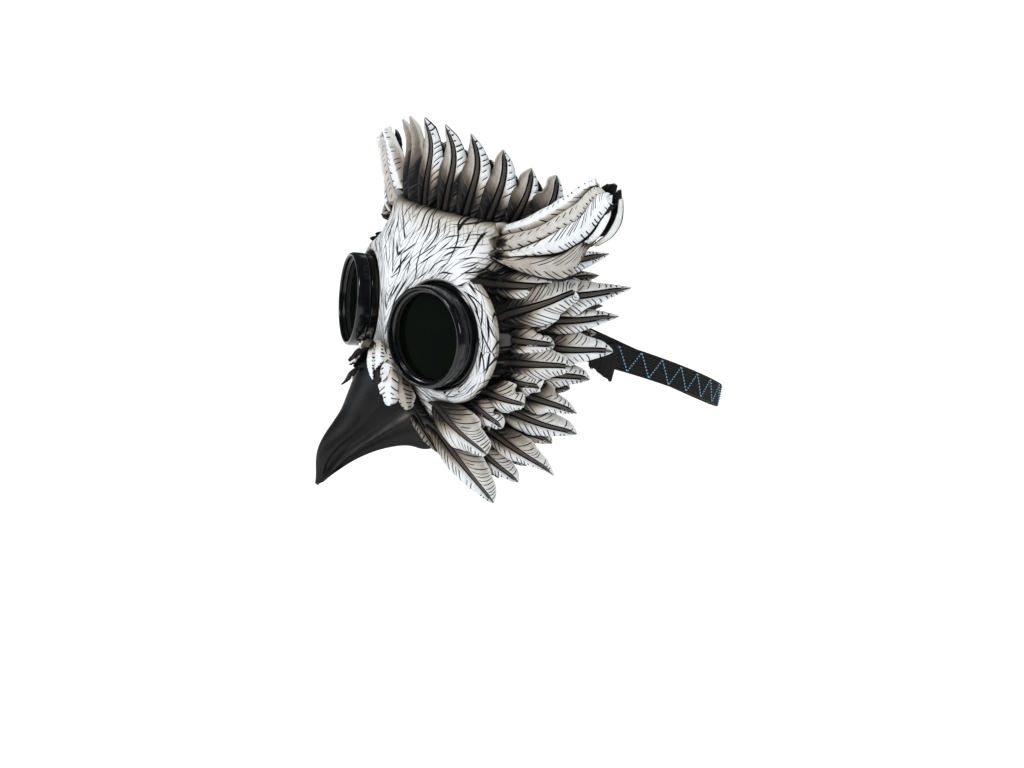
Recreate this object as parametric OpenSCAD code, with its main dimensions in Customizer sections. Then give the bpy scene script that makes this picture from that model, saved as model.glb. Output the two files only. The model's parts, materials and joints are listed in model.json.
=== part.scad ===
// Bird-faced plague doctor mask: a moulded latex face with layered feathers, a hooked
// rubber beak, two screw-together eyecups with tinted lenses, and an elastic head strap.
// Frame: +Z up, -Y the way the wearer looks, +X the wearer's left, origin at the middle
// of the seat between the eyes.

/* [Face] */
// Half the width of the face at the temples
face_half_w = 84; // [82:1:87]
// Depth of the face from the middle of the head to the brow
face_depth = 103; // [101:1:105]
// Thickness of the latex
wall = 2.5; // [2:0.5:3]
// Height of the top edge of the forehead
forehead_z = 72; // [70:1:74]

/* [Eyecups] */
// Distance of each eyecup's seat from the middle plane
eye_x = 43.7; // [43:0.1:45]
// Angle that each eyecup points outward
toe_out = 15; // [12:1:17]
// Outer radius of the bezel and the barrel
bezel_r = 30; // [29:0.5:30]
// Radius of the opening in front of the lens
opening_r = 27.3; // [26.5:0.1:27.5]

/* [Beak] */
// Drop from the top of the beak to its tip
beak_drop = 88; // [84:1:92]
// Half the width of the beak where it meets the cheeks
beak_half_w = 37; // [35:1:39]

/* [Feathers] */
// Thickness of a feather at its middle
feather_t = 2; // [1.6:0.1:2.4]
// Scale of every feather's width
feather_w = 1; // [0.9:0.05:1.05]

/* [Strap] */
// Width of the elastic
strap_w = 16.5; // [15:0.5:18]
// Thickness of the elastic
strap_t = 1.6; // [1.4:0.1:2]

/* [Hidden] */
$fn = 96;

// ---- the head-like surface that the face and the feathers follow ----
brow_y = -28;
head_y = face_depth + brow_y;
face_mid_z = 10;
dome_h = 105;
jaw_h = 150;
bluntness = 0.8;
least_shrink = 0.02;
function half_h(z) = z > face_mid_z ? dome_h : jaw_h;
function shrink(z) = sqrt(max(least_shrink, 1 - pow((z - face_mid_z) / half_h(z), 2)));
function signed_pow(v) = sign(v) * pow(abs(v), bluntness);
function on_face(az, z, lift = 0) = [
    (face_half_w * shrink(z) + lift) * signed_pow(sin(az)),
    head_y - (face_depth * shrink(z) + lift) * signed_pow(cos(az)), z];
function unit(v) = v / norm(v);
out_w = 90;
out_h = 130;
function out_dir(az, z) = unit([sin(az) * out_w / face_half_w, -cos(az), (z - face_mid_z) / out_h]);

// ---- a closed skin from rings of points, each ring with the same number of points ----
module loft(rings) {
    n = len(rings[0]);
    m = len(rings);
    polyhedron(
        points = [for (r = rings) for (p = r) p],
        faces = concat(
            [[for (i = [0 : n - 1]) i]],
            [for (j = [0 : m - 2]) for (i = [0 : n - 1]) each [
                [j * n + i, (j + 1) * n + i, (j + 1) * n + (i + 1) % n],
                [j * n + i, (j + 1) * n + (i + 1) % n, j * n + (i + 1) % n]]],
            [[for (i = [n - 1 : -1 : 0]) (m - 1) * n + i]]));
}

// ---- one feather: its centre line runs through root, mid and tip; its face looks along facing ----
leaf_steps = 8;
tip_from = 0.7;
tip_narrowing = 0.6;
root_w = 0.34;
root_turn = 0.16;
point_w = 0.06;
edge_t = 0.4;
function belly(t) = pow(sin(180 * min(1, root_turn + t * (1 - root_turn))), 0.7);
function leaf_w(t) = (root_w + (1 - root_w) * belly(t))
    * (t > tip_from ? 1 - tip_narrowing * pow((t - tip_from) / (1 - tip_from), 2) : 1);
function bend(a, b, c, t) = (1 - t) * (1 - t) * a + 2 * t * (1 - t) * b + t * t * c;
module feather(root, mid, tip, facing, width) {
    along = unit(tip - root);
    side = unit(cross(along, facing));
    up = cross(side, along);
    pull = 2 * mid - (root + tip) / 2;
    loft([for (j = [0 : leaf_steps])
        let (t = j / leaf_steps,
            c = bend(root, pull, tip, t),
            k = j == leaf_steps ? point_w : leaf_w(t),
            w = width * feather_w / 2 * k,
            h = feather_t / 2 * (edge_t + (1 - edge_t) * k))
        [c - side * w, c + up * h, c + side * w, c - up * h]]);
}
// a feather between two free points: bow lifts its middle off the chord, sweep moves it sideways
module free_feather(root, tip, facing, width, bow, sweep = 0) {
    side = unit(cross(tip - root, facing));
    up = unit(cross(side, tip - root));
    feather(root, (root + tip) / 2 + up * bow + side * sweep, tip, facing, width);
}
// a feather that hugs the face: azimuth, height and lift of its root and of its tip
puff = 1.5;
module face_feather(a, b, width) {
    m = (a + b) / 2;
    feather(on_face(a[0], a[1], a[2]), on_face(m[0], m[1], m[2] + puff), on_face(b[0], b[1], b[2]),
        out_dir(m[0], m[1]), width);
}

// ---- placing ----
module both(side) {
    if (side > 0) children();
    else mirror([1, 0, 0]) children();
}
// Z of the children becomes the outward axis of an eyecup, from the seat on the latex
seat_y = -14;
module at_eye() translate([eye_x, seat_y, 0]) rotate([90, 0, toe_out]) children();
module turned(outline) rotate_extrude() polygon(outline);
module ring(r0, r1, z0, z1) turned([[r0, z0], [r1, z0], [r1, z1], [r0, z1]]);

// ---- face shell ----
shell_cols = 20;
shell_rows = 7;
shell_az = 78;
nose_z = -20;
cheek_z = -84;
cheek_az = [30, 45];
temple_low = -40;
temple_drop = 30;
brow_az = 46;
function low_z(az) = let (a = abs(az))
    a < cheek_az[0] ? nose_z + (cheek_z - nose_z) * pow(a / cheek_az[0], 1.2)
    : cheek_z + (temple_low - cheek_z) * pow(max(0, a - cheek_az[1]) / (shell_az - cheek_az[1]), 1.3);
function high_z(az) = let (a = abs(az))
    forehead_z - temple_drop * pow(max(0, a - brow_az) / (shell_az - brow_az), 1.6);
function shell_grid(lift) = [for (j = [0 : shell_rows]) [for (i = [0 : shell_cols])
    let (az = -shell_az + 2 * shell_az * i / shell_cols)
    on_face(az, low_z(az) + (high_z(az) - low_z(az)) * j / shell_rows, lift)]];
module skin() {
    outer = shell_grid(0);
    inner = shell_grid(-wall);
    thick_sheet([for (j = [0 : shell_rows]) outer[j]], [for (j = [0 : shell_rows]) inner[j]]);
}
// a sheet with thickness, from an outer and an inner grid of the same size
module thick_sheet(a, b) {
    m = len(a);
    n = len(a[0]);
    function va(j, i) = j * n + i;
    function vb(j, i) = m * n + j * n + i;
    polyhedron(
        points = concat([for (r = a) for (p = r) p], [for (r = b) for (p = r) p]),
        faces = concat(
            [for (j = [0 : m - 2]) for (i = [0 : n - 2]) each [
                [va(j, i), va(j + 1, i), va(j + 1, i + 1)], [va(j, i), va(j + 1, i + 1), va(j, i + 1)],
                [vb(j, i), vb(j + 1, i + 1), vb(j + 1, i)], [vb(j, i), vb(j, i + 1), vb(j + 1, i + 1)]]],
            [for (i = [0 : n - 2]) each [
                [va(0, i), va(0, i + 1), vb(0, i + 1)], [va(0, i), vb(0, i + 1), vb(0, i)],
                [va(m - 1, i), vb(m - 1, i), vb(m - 1, i + 1)],
                [va(m - 1, i), vb(m - 1, i + 1), va(m - 1, i + 1)]]],
            [for (j = [0 : m - 2]) each [
                [va(j, 0), vb(j, 0), vb(j + 1, 0)], [va(j, 0), vb(j + 1, 0), va(j + 1, 0)],
                [va(j, n - 1), va(j + 1, n - 1), vb(j + 1, n - 1)],
                [va(j, n - 1), vb(j + 1, n - 1), vb(j, n - 1)]]]));
}
collar_r = 28.2;
disc_r = 41.5;
collar_back = -8;
collar_w = 4.8;
lip_r = 31.7;
lip_h = 3.2;
hole_r = 32;
module eye_disc() turned([
    [collar_r, collar_back], [collar_r, 0], [lip_r, 0], [lip_r + 0.2, lip_h - 0.8], [lip_r + 1.5, lip_h],
    [lip_r + 3.3, lip_h - 0.5], [disc_r - 2, 0], [disc_r - 0.3, -1.4], [disc_r, -3], [disc_r - 0.8, -5],
    [disc_r - 2.5, -5.6], [collar_r + collar_w + 1.5, -4], [collar_r + collar_w, -5],
    [collar_r + collar_w, collar_back]]);
module face_shell() color("ghostwhite") {
    difference() {
        skin();
        for (side = [-1, 1]) both(side) at_eye() cylinder(r = hole_r, h = 60, center = true);
    }
    for (side = [-1, 1]) both(side) at_eye() eye_disc();
}

// ---- beak ----
beak_steps = 10;
beak_arc = 8;
beak_top = [0, -34, -20];
beak_reach = 34;
tip_hook = 3;
// the ridge swells forward between its middle and the tip, which makes the hook
swell = 6.5;
swell_from = 0.4;
tip_half_w = 2;
tip_t = 0.97;
edge_root = [beak_half_w, -5, -72];
edge_reach = 57;
edge_drop = beak_drop - 54;
function swell_at(t) = swell * pow(sin(180 * max(0, t - swell_from) / (1 - swell_from)), 2);
function beak_ridge(t) = beak_top
    + [0, tip_hook * pow(t, 6) - beak_reach * t - swell_at(t), -beak_drop * t];
function beak_edge(t) = [
    edge_root[0] * pow(1 - t, 1.2) + tip_half_w,
    edge_root[1] - edge_reach * t,
    edge_root[2] - edge_drop * pow(t, 2.2)];
// half an ellipse from edge over the ridge to edge; inset moves it inward
function beak_ring(t, inset) = let (
    r = beak_ridge(t) + [0, inset * 0.8, -inset * 0.6],
    e = beak_edge(t),
    w = max(0.4, e[0] - inset))
    [for (i = [beak_arc : -1 : -beak_arc]) let (a = 90 * i / beak_arc)
        [w * sin(a), r[1] + (e[1] - r[1]) * (1 - cos(a)), r[2] + (e[2] - r[2]) * (1 - cos(a))]];
function beak_skin(inset) = [for (j = [0 : beak_steps]) beak_ring(j / beak_steps * tip_t, inset)];
module beak() color("dimgray") thick_sheet(beak_skin(0), beak_skin(wall));

// ---- tuft over the beak's root, and the feathers beside the beak ----
module nose_tuft() color("gainsboro") {
    for (i = [-2 : 2]) let (out = abs(i), lift = i % 2 == 0 ? 0 : 3.5)
        free_feather([5.5 * i, -32 + out - lift, -13 - 2 * out],
            [9 * i, -40 + 4 * out - lift, -30 - 1.5 * out], [0, -1, 0.4], 8, 3);
}
nose_roots = [[9, -32, -21], [17, -28, -31], [25, -24, -42]];
nose_tips = [[19, -33, -50], [32, -19, -62], [42, -9, -77]];
module nose_feathers(side) color("lightgray") both(side)
    for (i = [0 : 2]) let (lift = [2.2, -3.6, 0] * (i % 2))
        free_feather(nose_roots[i] + lift, nose_tips[i] + lift, [0.6, -1, 0], 12, 2);

// ---- eyecups; every height is along the eyecup's axis from its seat on the latex ----
spigot_r = 28;
cup_bore_r = 24;
pocket_r = 27;
thread_r = 28.6;
thread_gap = 0.05;
fit_gap = 0.3;
nut_t = 3;
lock_r = 31.6;
flange_r = bezel_r + 1.3;
ledge_s = 5.5;
barrel_s = 7.5;
thread_s = 11.5;
gasket_t = 0.8;
lens_t = 3;
shoulder_s = 11.7;
shoulder_r = 25.7;
lip_s = 16.5;
lip_depth = 3;
module eyecup(side) color("black") both(side) at_eye() turned([
    [cup_bore_r, collar_back - nut_t], [spigot_r, collar_back - nut_t], [spigot_r, 0], [flange_r, 0],
    [flange_r, 1.6], [bezel_r, 2.2], [bezel_r, barrel_s], [thread_r, barrel_s], [thread_r, thread_s],
    [pocket_r, thread_s], [pocket_r, ledge_s], [cup_bore_r, ledge_s]]);
module lock_ring(side) color("black") both(side) at_eye()
    ring(spigot_r + thread_gap, lock_r, collar_back - nut_t, collar_back);
module gasket(side) color("dimgray") both(side) at_eye()
    ring(cup_bore_r + fit_gap, pocket_r - fit_gap, ledge_s, ledge_s + gasket_t);
module lens(side) color("darkgreen", 0.6) both(side) at_eye()
    translate([0, 0, ledge_s + gasket_t]) cylinder(r = pocket_r - fit_gap, h = lens_t);
module slip_washer(side) color("black") both(side) at_eye()
    ring(shoulder_r + 0.2, pocket_r - 0.2, ledge_s + gasket_t + lens_t, shoulder_s);
module bezel(side) color("black") both(side) at_eye() turned([
    [thread_r + thread_gap, barrel_s + 0.2], [bezel_r - 0.6, barrel_s + 0.2], [bezel_r, barrel_s + 0.8],
    [bezel_r, lip_s - 1.6], [bezel_r - 0.5, lip_s - 0.5], [bezel_r - 1.4, lip_s], [opening_r, lip_s],
    [opening_r, lip_s - lip_depth], [shoulder_r, lip_s - lip_depth], [shoulder_r, shoulder_s],
    [thread_r + thread_gap, shoulder_s]]);

// ---- crest, standing along the top edge of the forehead ----
crest_az = [0, 13, 26, 39, 51, 63];
crest_up = [50, 48, 45, 39, 31, 31];
crest_back = [6, 7, 8, 9, 9, 5];
crest_out = [0, 9, 7, 5, 5, 11];
crest_w = 19;
function crest_root(i) = on_face(crest_az[i], forehead_z - 3, -1);
module crest_feather(i) free_feather(crest_root(i),
    crest_root(i) + [crest_out[i] * sin(crest_az[i]), crest_back[i], crest_up[i]],
    out_dir(crest_az[i] + 20, 40), crest_w, 4);
module crest() color("silver") {
    crest_feather(0);
    for (side = [-1, 1]) both(side) for (i = [1 : 5]) crest_feather(i);
}

// ---- brow tufts: bundles of long feathers that sweep out and up from each brow ----
tuft_roots = [[52, 63], [50, 59], [50, 55], [50, 51], [51, 47], [62, 55]];
tuft_tips = [[117, 26, 106], [120, 24, 105], [125, 26, 102], [128, 27, 99], [131, 27, 95], [108, 46, 90]];
tuft_facing = [0.45, -0.85, -0.25];
tuft_sweep = [-2, 1, 4, 7, 9, 2];
tuft_w = 17;
tuft_bow = 2.5;
module brow_tuft(side) color("silver") both(side)
    for (i = [0 : 5]) let (layer = i % 5)
        free_feather(on_face(tuft_roots[i][0], tuft_roots[i][1], 1 + layer),
            tuft_tips[i] + tuft_facing * layer, tuft_facing, tuft_w, tuft_bow, tuft_sweep[i]);

// ---- feathers of the cheeks: [azimuth, height] of the root, of the tip, and the width ----
outer_row = [[[58, 42], [88, 60], 18], [[65, 31], [91, 38], 19], [[66, 18], [90, 21], 18],
    [[67, 3], [89, 3], 18], [[66, -12], [86, -15], 17], [[64, -26], [84, -34], 16]];
inner_row = [[[50, 36], [71, 40], 16], [[56, 20], [78, 38], 21], [[57, 5], [73, 7], 18],
    [[59, -8], [78, -4], 17], [[57, -20], [71, -19], 14], [[51, -27], [66, -30], 15],
    [[44, -35], [60, -46], 16], [[30, -42], [55, -64], 23]];
jaw_row = [[[60, -38], [86, -52], 17], [[56, -54], [82, -77], 15], [[47, -64], [70, -86], 15],
    [[31, -60], [61, -102], 20]];
module feather_row(row, root_lift, tip_lift)
    for (i = [0 : len(row) - 1]) let (f = row[i], up = i % 2 * 4.5)
        face_feather([f[0][0], f[0][1], root_lift + up * 0.6], [f[1][0], f[1][1], tip_lift + up], f[2]);
module outer_feathers(side) color("gainsboro") both(side) feather_row(outer_row, 0.5, 9);
module inner_feathers(side) color("whitesmoke") both(side) feather_row(inner_row, 1, 12);
module jaw_feathers(side) color("lightgray") both(side) feather_row(jaw_row, 0.5, 10);

// ---- strap: sewn to a patch inside each temple, once round the back of the head ----
patch_t = 1.5;
patch_az = [65, 76];
patch_z = [-7, 19];
module strap_patch(side) color("dimgray") both(side)
    thick_sheet(patch_grid(-wall), patch_grid(-wall - patch_t));
function patch_grid(lift) = [for (z = patch_z) [for (i = [0 : 3])
    on_face(patch_az[0] + (patch_az[1] - patch_az[0]) * i / 3, z, lift)]];
strap_az = [66, 71, 76, 84];
strap_lift = [0, 0, 0.2, 1.8] - [1, 1, 1, 1] * (wall + patch_t + strap_t);
head_back = 161;
head_power = 0.75;
back_steps = 18;
side_z = -1.7;
strap_slope = 0.236;
strap_bend = 0.00056;
function strap_z(y) = side_z - strap_slope * (y - head_y) - strap_bend * pow(y - head_y, 2);
function strap_start(i) = on_face(strap_az[i], 6, strap_lift[i]);
function strap_back(u) = [
    (face_half_w - 2) * pow(max(0, cos(u)), head_power),
    head_y + head_back * pow(sin(u), head_power)];
strap_half = concat([for (i = [0 : 3]) [strap_start(i)[0], strap_start(i)[1]]],
    [for (j = [0 : back_steps]) strap_back(90 * j / back_steps)]);
strap_line = concat(strap_half,
    [for (i = [len(strap_half) - 2 : -1 : 0]) [-strap_half[i][0], strap_half[i][1]]]);
function flat_normal(line, i) = let (
    a = line[max(0, i - 1)],
    b = line[min(len(line) - 1, i + 1)],
    d = (b - a) / norm(b - a))
    [d[1], -d[0]];
function strap_at(i, out, up) = let (p = strap_line[i], n = flat_normal(strap_line, i) * out)
    [p[0] + n[0], p[1] + n[1], strap_z(p[1]) + up];
// the folded end, hanging out below the band: [along, up] from its middle
tail_y = 77;
tail_sink = 0.3;
tail = [[-11, 4], [0, 6], [11, 6], [11, -10.5], [9.8, -19], [-2, -11], [-11, -8.5]];
module strap_tail(side) both(side)
    translate([strap_back(0)[0] + strap_t - tail_sink, tail_y, strap_z(tail_y)])
        rotate([90, 0, 90]) linear_extrude(strap_t) polygon(tail);
module strap() color("black") {
    loft([for (i = [0 : len(strap_line) - 1])
        [strap_at(i, 0, strap_w / 2), strap_at(i, strap_t, strap_w / 2),
            strap_at(i, strap_t, -strap_w / 2), strap_at(i, 0, -strap_w / 2)]]);
    for (side = [-1, 1]) strap_tail(side);
}
// zigzag thread along the outside of the elastic, by distance along its centre line
thread_t = 0.5;
zigzag_half_pitch = 9.8;
zigzag_h = strap_w / 2 - 1;
zigzag_start = 42.9;
function strap_step(i) = i < len(strap_line) - 1 ? norm(strap_line[i + 1] - strap_line[i]) : 0;
strap_run = [for (i = 0, d = 0; i < len(strap_line); d = d + strap_step(i), i = i + 1) d];
strap_len = strap_run[len(strap_run) - 1];
zigzag_count = floor((strap_len - 2 * zigzag_start) / zigzag_half_pitch);
function along(d, k) = lookup(d, [for (i = [0 : len(strap_line) - 1]) [strap_run[i], strap_line[i][k]]]);
thread_sink = 0.1;
function zigzag_ring(k) = let (
    d = zigzag_start + k * zigzag_half_pitch,
    p = [along(d, 0), along(d, 1)],
    q = [along(d + 1, 0), along(d + 1, 1)] - [along(d - 1, 0), along(d - 1, 1)],
    t = q / norm(q),
    n = [t[1], -t[0]],
    z = strap_z(p[1]) + (k % 2 == 0 ? zigzag_h : -zigzag_h))
    [for (c = [[1, 0], [1, 1], [-1, 1], [-1, 0]])
        let (e = p + n * (strap_t - thread_sink + c[1] * thread_t)) [e[0], e[1], z + c[0] * thread_t]];
module strap_stitching() color("lightsteelblue") loft([for (k = [0 : zigzag_count]) zigzag_ring(k)]);

face_shell();
beak();
nose_tuft();
eyecup(1);  // left_eyecup
eyecup(-1);  // right_eyecup
lock_ring(1);  // left_lock_ring
lock_ring(-1);  // right_lock_ring
gasket(1);  // left_gasket
gasket(-1);  // right_gasket
lens(1);  // left_lens
lens(-1);  // right_lens
slip_washer(1);  // left_slip_washer
slip_washer(-1);  // right_slip_washer
bezel(1);  // left_bezel
bezel(-1);  // right_bezel
crest();
brow_tuft(1);  // left_brow_tuft
brow_tuft(-1);  // right_brow_tuft
outer_feathers(1);  // left_outer_feathers
outer_feathers(-1);  // right_outer_feathers
inner_feathers(1);  // left_inner_feathers
inner_feathers(-1);  // right_inner_feathers
jaw_feathers(1);  // left_jaw_feathers
jaw_feathers(-1);  // right_jaw_feathers
nose_feathers(1);  // left_nose_feathers
nose_feathers(-1);  // right_nose_feathers
strap();
strap_patch(1);  // left_strap_patch
strap_patch(-1);  // right_strap_patch
strap_stitching();
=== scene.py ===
"""The looks of the bird-faced plague doctor mask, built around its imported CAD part.

Shapes are worked out in millimetres in the part's frame (+Z up, -Y the way the wearer looks,
+X the wearer's left, origin between the eyes) and become metres when a mesh is made.
"""
import json
import math

import bmesh
import bpy
import numpy as np
from mathutils import Matrix, Vector
from mathutils.bvhtree import BVHTree


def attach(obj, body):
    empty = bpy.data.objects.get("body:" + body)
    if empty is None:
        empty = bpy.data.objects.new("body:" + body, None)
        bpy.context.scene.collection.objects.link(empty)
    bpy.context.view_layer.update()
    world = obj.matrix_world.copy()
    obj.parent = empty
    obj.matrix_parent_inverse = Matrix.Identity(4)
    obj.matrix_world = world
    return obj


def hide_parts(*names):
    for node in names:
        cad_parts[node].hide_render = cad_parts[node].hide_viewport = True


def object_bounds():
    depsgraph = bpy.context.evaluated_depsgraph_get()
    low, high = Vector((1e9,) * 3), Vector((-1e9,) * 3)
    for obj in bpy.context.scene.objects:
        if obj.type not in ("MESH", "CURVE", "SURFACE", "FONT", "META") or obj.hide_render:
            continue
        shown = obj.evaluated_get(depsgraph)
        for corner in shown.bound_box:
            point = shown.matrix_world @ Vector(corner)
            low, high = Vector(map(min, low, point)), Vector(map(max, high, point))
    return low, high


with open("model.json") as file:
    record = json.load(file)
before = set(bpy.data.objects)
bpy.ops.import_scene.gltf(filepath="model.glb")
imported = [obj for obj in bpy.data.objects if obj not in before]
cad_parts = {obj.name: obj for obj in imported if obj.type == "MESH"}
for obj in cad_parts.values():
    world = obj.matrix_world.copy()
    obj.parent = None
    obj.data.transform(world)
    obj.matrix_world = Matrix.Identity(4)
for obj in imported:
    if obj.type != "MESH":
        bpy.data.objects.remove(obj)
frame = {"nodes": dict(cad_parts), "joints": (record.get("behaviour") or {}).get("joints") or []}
cad_box = [list(corner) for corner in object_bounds()]

MM = 0.001
SEED = 41


# ---------------------------------------------------------------- camera, light, floor
# The photo's camera: focal length in mm, azimuth, elevation and roll in degrees, place in metres.
CAMERA_LENS = 40.03
CAMERA_ANGLES = (53.784, 15.314, 7.923)
CAMERA_PLACE = (0.59613, -0.36260, 0.15489)

# The strength of the white room, as seen by matte surfaces and as mirrored by glossy ones.
ROOM, MIRRORED = 1.08, 0.08

# Soft panels: name, place, aim, size, watts and tint.
PANELS = [
    ("key", (0.25, -1.35, 1.15), (0.02, 0.0, 0.0), (0.45, 0.35), 12.5, (1.0, 0.99, 0.97)),
    ("side", (1.35, 0.65, 0.75), (0.0, 0.0, 0.0), (0.12, 0.5), 3.0, (0.93, 0.97, 1.0)),
    ("window", (-0.55, -1.3, 0.25), (0.0, 0.0, 0.0), (0.14, 0.32), 3.0, (0.93, 0.97, 1.0)),
]


def turned_frame(azimuth, elevation, roll):
    """Right, up and back vectors of a camera, from its angles in degrees."""
    a, e, r = (math.radians(v) for v in (azimuth, elevation, roll))
    back = Vector((math.sin(a) * math.cos(e), -math.cos(a) * math.cos(e), math.sin(e)))
    level = Vector((math.cos(a), math.sin(a), 0.0))
    above = back.cross(level)
    right = level * math.cos(r) + above * math.sin(r)
    return right, back.cross(right), back


def make_camera():
    data = bpy.data.cameras.new("camera")
    data.sensor_width = 36.0
    data.lens = CAMERA_LENS
    data.clip_start, data.clip_end = 0.01, 20.0
    camera = bpy.data.objects.new("camera", data)
    place = Matrix(turned_frame(*CAMERA_ANGLES)).transposed().to_4x4()
    place.translation = CAMERA_PLACE
    camera.matrix_world = place
    bpy.context.scene.collection.objects.link(camera)
    bpy.context.scene.camera = camera


def area_light(name, place, aim, size, power, tint):
    data = bpy.data.lights.new(name, "AREA")
    data.shape = "RECTANGLE"
    data.size, data.size_y = size
    data.energy = power
    data.color = tint
    light = bpy.data.objects.new(name, data)
    light.location = place
    light.rotation_mode = "QUATERNION"
    light.rotation_quaternion = (Vector(aim) - Vector(place)).to_track_quat("-Z", "Y")
    bpy.context.scene.collection.objects.link(light)


def make_light():
    """A white room that glossy surfaces mirror only dimly, with three soft panels."""
    world = bpy.data.worlds.new("studio")
    bpy.context.scene.world = world
    world.use_nodes = True
    tree = world.node_tree
    tree.nodes.clear()
    path = tree.nodes.new("ShaderNodeLightPath")
    mix = tree.nodes.new("ShaderNodeMixShader")
    out = tree.nodes.new("ShaderNodeOutputWorld")
    tree.links.new(path.outputs["Is Glossy Ray"], mix.inputs[0])
    for slot, colour, strength in ((1, (1.0, 1.0, 1.0, 1.0), ROOM), (2, (0.85, 0.95, 1.0, 1.0), MIRRORED)):
        sky = tree.nodes.new("ShaderNodeBackground")
        sky.inputs["Color"].default_value = colour
        sky.inputs["Strength"].default_value = strength
        tree.links.new(sky.outputs[0], mix.inputs[slot])
    tree.links.new(mix.outputs[0], out.inputs["Surface"])
    for panel in PANELS:
        area_light(*panel)
    bpy.context.scene.view_settings.view_transform = "Standard"


# ---------------------------------------------------------------- node materials
class Paint:
    """A material's node tree, with short calls to build it."""

    def __init__(self, name):
        self.material = bpy.data.materials.new(name)
        self.material.use_nodes = True
        self.tree = self.material.node_tree
        self.tree.nodes.clear()
        self.shader = self.tree.nodes.new("ShaderNodeBsdfPrincipled")
        out = self.tree.nodes.new("ShaderNodeOutputMaterial")
        self.tree.links.new(self.shader.outputs[0], out.inputs["Surface"])

    def put(self, socket, value):
        """Links value to a socket if it is another socket, or else sets it."""
        if isinstance(value, bpy.types.NodeSocket):
            self.tree.links.new(value, socket)
        elif isinstance(value, (tuple, list)) and len(value) == 3 and socket.type == "RGBA":
            socket.default_value = (*value, 1.0)
        else:
            socket.default_value = value

    def node(self, kind, sockets=None, **settings):
        made = self.tree.nodes.new("ShaderNode" + kind)
        for key, value in settings.items():
            setattr(made, key, value)
        for key, value in (sockets or {}).items():
            self.put(made.inputs[key], value)
        return made

    def finish(self, **sockets):
        for key, value in sockets.items():
            self.put(self.shader.inputs[key.replace("_", " ")], value)
        return self.material

    def math(self, operation, a, b=0.0, c=0.0, clamp=False):
        made = self.node("Math", {0: a, 1: b, 2: c}, operation=operation, use_clamp=clamp)
        return made.outputs[0]

    def attribute(self, name, vector=False):
        made = self.node("Attribute", attribute_name=name, attribute_type="GEOMETRY")
        return made.outputs["Vector" if vector else "Fac"]

    def noise(self, where, scale, detail=2.0, roughness=0.5, distortion=0.0):
        made = self.node("TexNoise", {"Vector": where, "Scale": scale, "Detail": detail,
                                      "Roughness": roughness, "Distortion": distortion})
        return made.outputs["Fac"]

    def wave(self, where, scale, distortion, direction, **more):
        sockets = {"Vector": where, "Scale": scale, "Distortion": distortion, **more}
        return self.node("TexWave", sockets, bands_direction=direction).outputs["Fac"]

    def place(self):
        """Object coordinates, which are the part's own metres, in millimetres."""
        return self.stretch(self.node("TexCoord").outputs["Object"], (1000.0, 1000.0, 1000.0))

    def stretch(self, where, scale, shift=(0.0, 0.0, 0.0)):
        return self.node("Mapping", {"Vector": where, "Scale": scale, "Location": shift}).outputs[0]

    def ramp(self, value, stops):
        """A colour ramp; a stop is (place, colour) or (place, grey)."""
        made = self.node("ValToRGB", {0: value})
        elements = made.color_ramp.elements
        while len(elements) < len(stops):
            elements.new(1.0)
        for element, (place, colour) in zip(elements, stops):
            element.position = place
            grey = not isinstance(colour, (tuple, list))
            element.color = (colour,) * 3 + (1.0,) if grey else (*colour, 1.0)
        return made.outputs["Color"]

    def mix(self, share, a, b):
        made = self.node("Mix", data_type="RGBA")
        for socket, value in zip((made.inputs[0], made.inputs[6], made.inputs[7]), (share, a, b)):
            self.put(socket, value)
        return made.outputs[2]

    def bump(self, height, depth, strength):
        return self.node("Bump", {"Height": height, "Distance": depth, "Strength": strength}).outputs[0]


INK = (0.003, 0.003, 0.004)
# The latex paint from clean white, through the grey-brown of the wash and of painted shade, to black.
WASH_AND_SHADE_STOPS = [(0.0, (0.62, 0.645, 0.67)), (0.16, (0.50, 0.50, 0.485)), (0.33, (0.28, 0.255, 0.22)),
              (0.52, (0.095, 0.080, 0.064)), (0.74, (0.018, 0.016, 0.014)), (1.0, (0.003, 0.003, 0.003))]


def smudged(p, wash, amount=0.16):
    """The wash and painted shade, with cloudy and speckled paint over it."""
    cloud = p.noise(p.place(), 0.16, 3.0, 0.6)
    speck = p.noise(p.place(), 1.1, 3.0, 0.7)
    both = p.math("ADD", p.math("MULTIPLY", cloud, 0.65), p.math("MULTIPLY", speck, 0.35))
    shift = p.math("MULTIPLY", p.math("SUBTRACT", both, 0.5), 2.0 * amount)
    return p.math("ADD", wash, shift, clamp=True)


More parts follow.
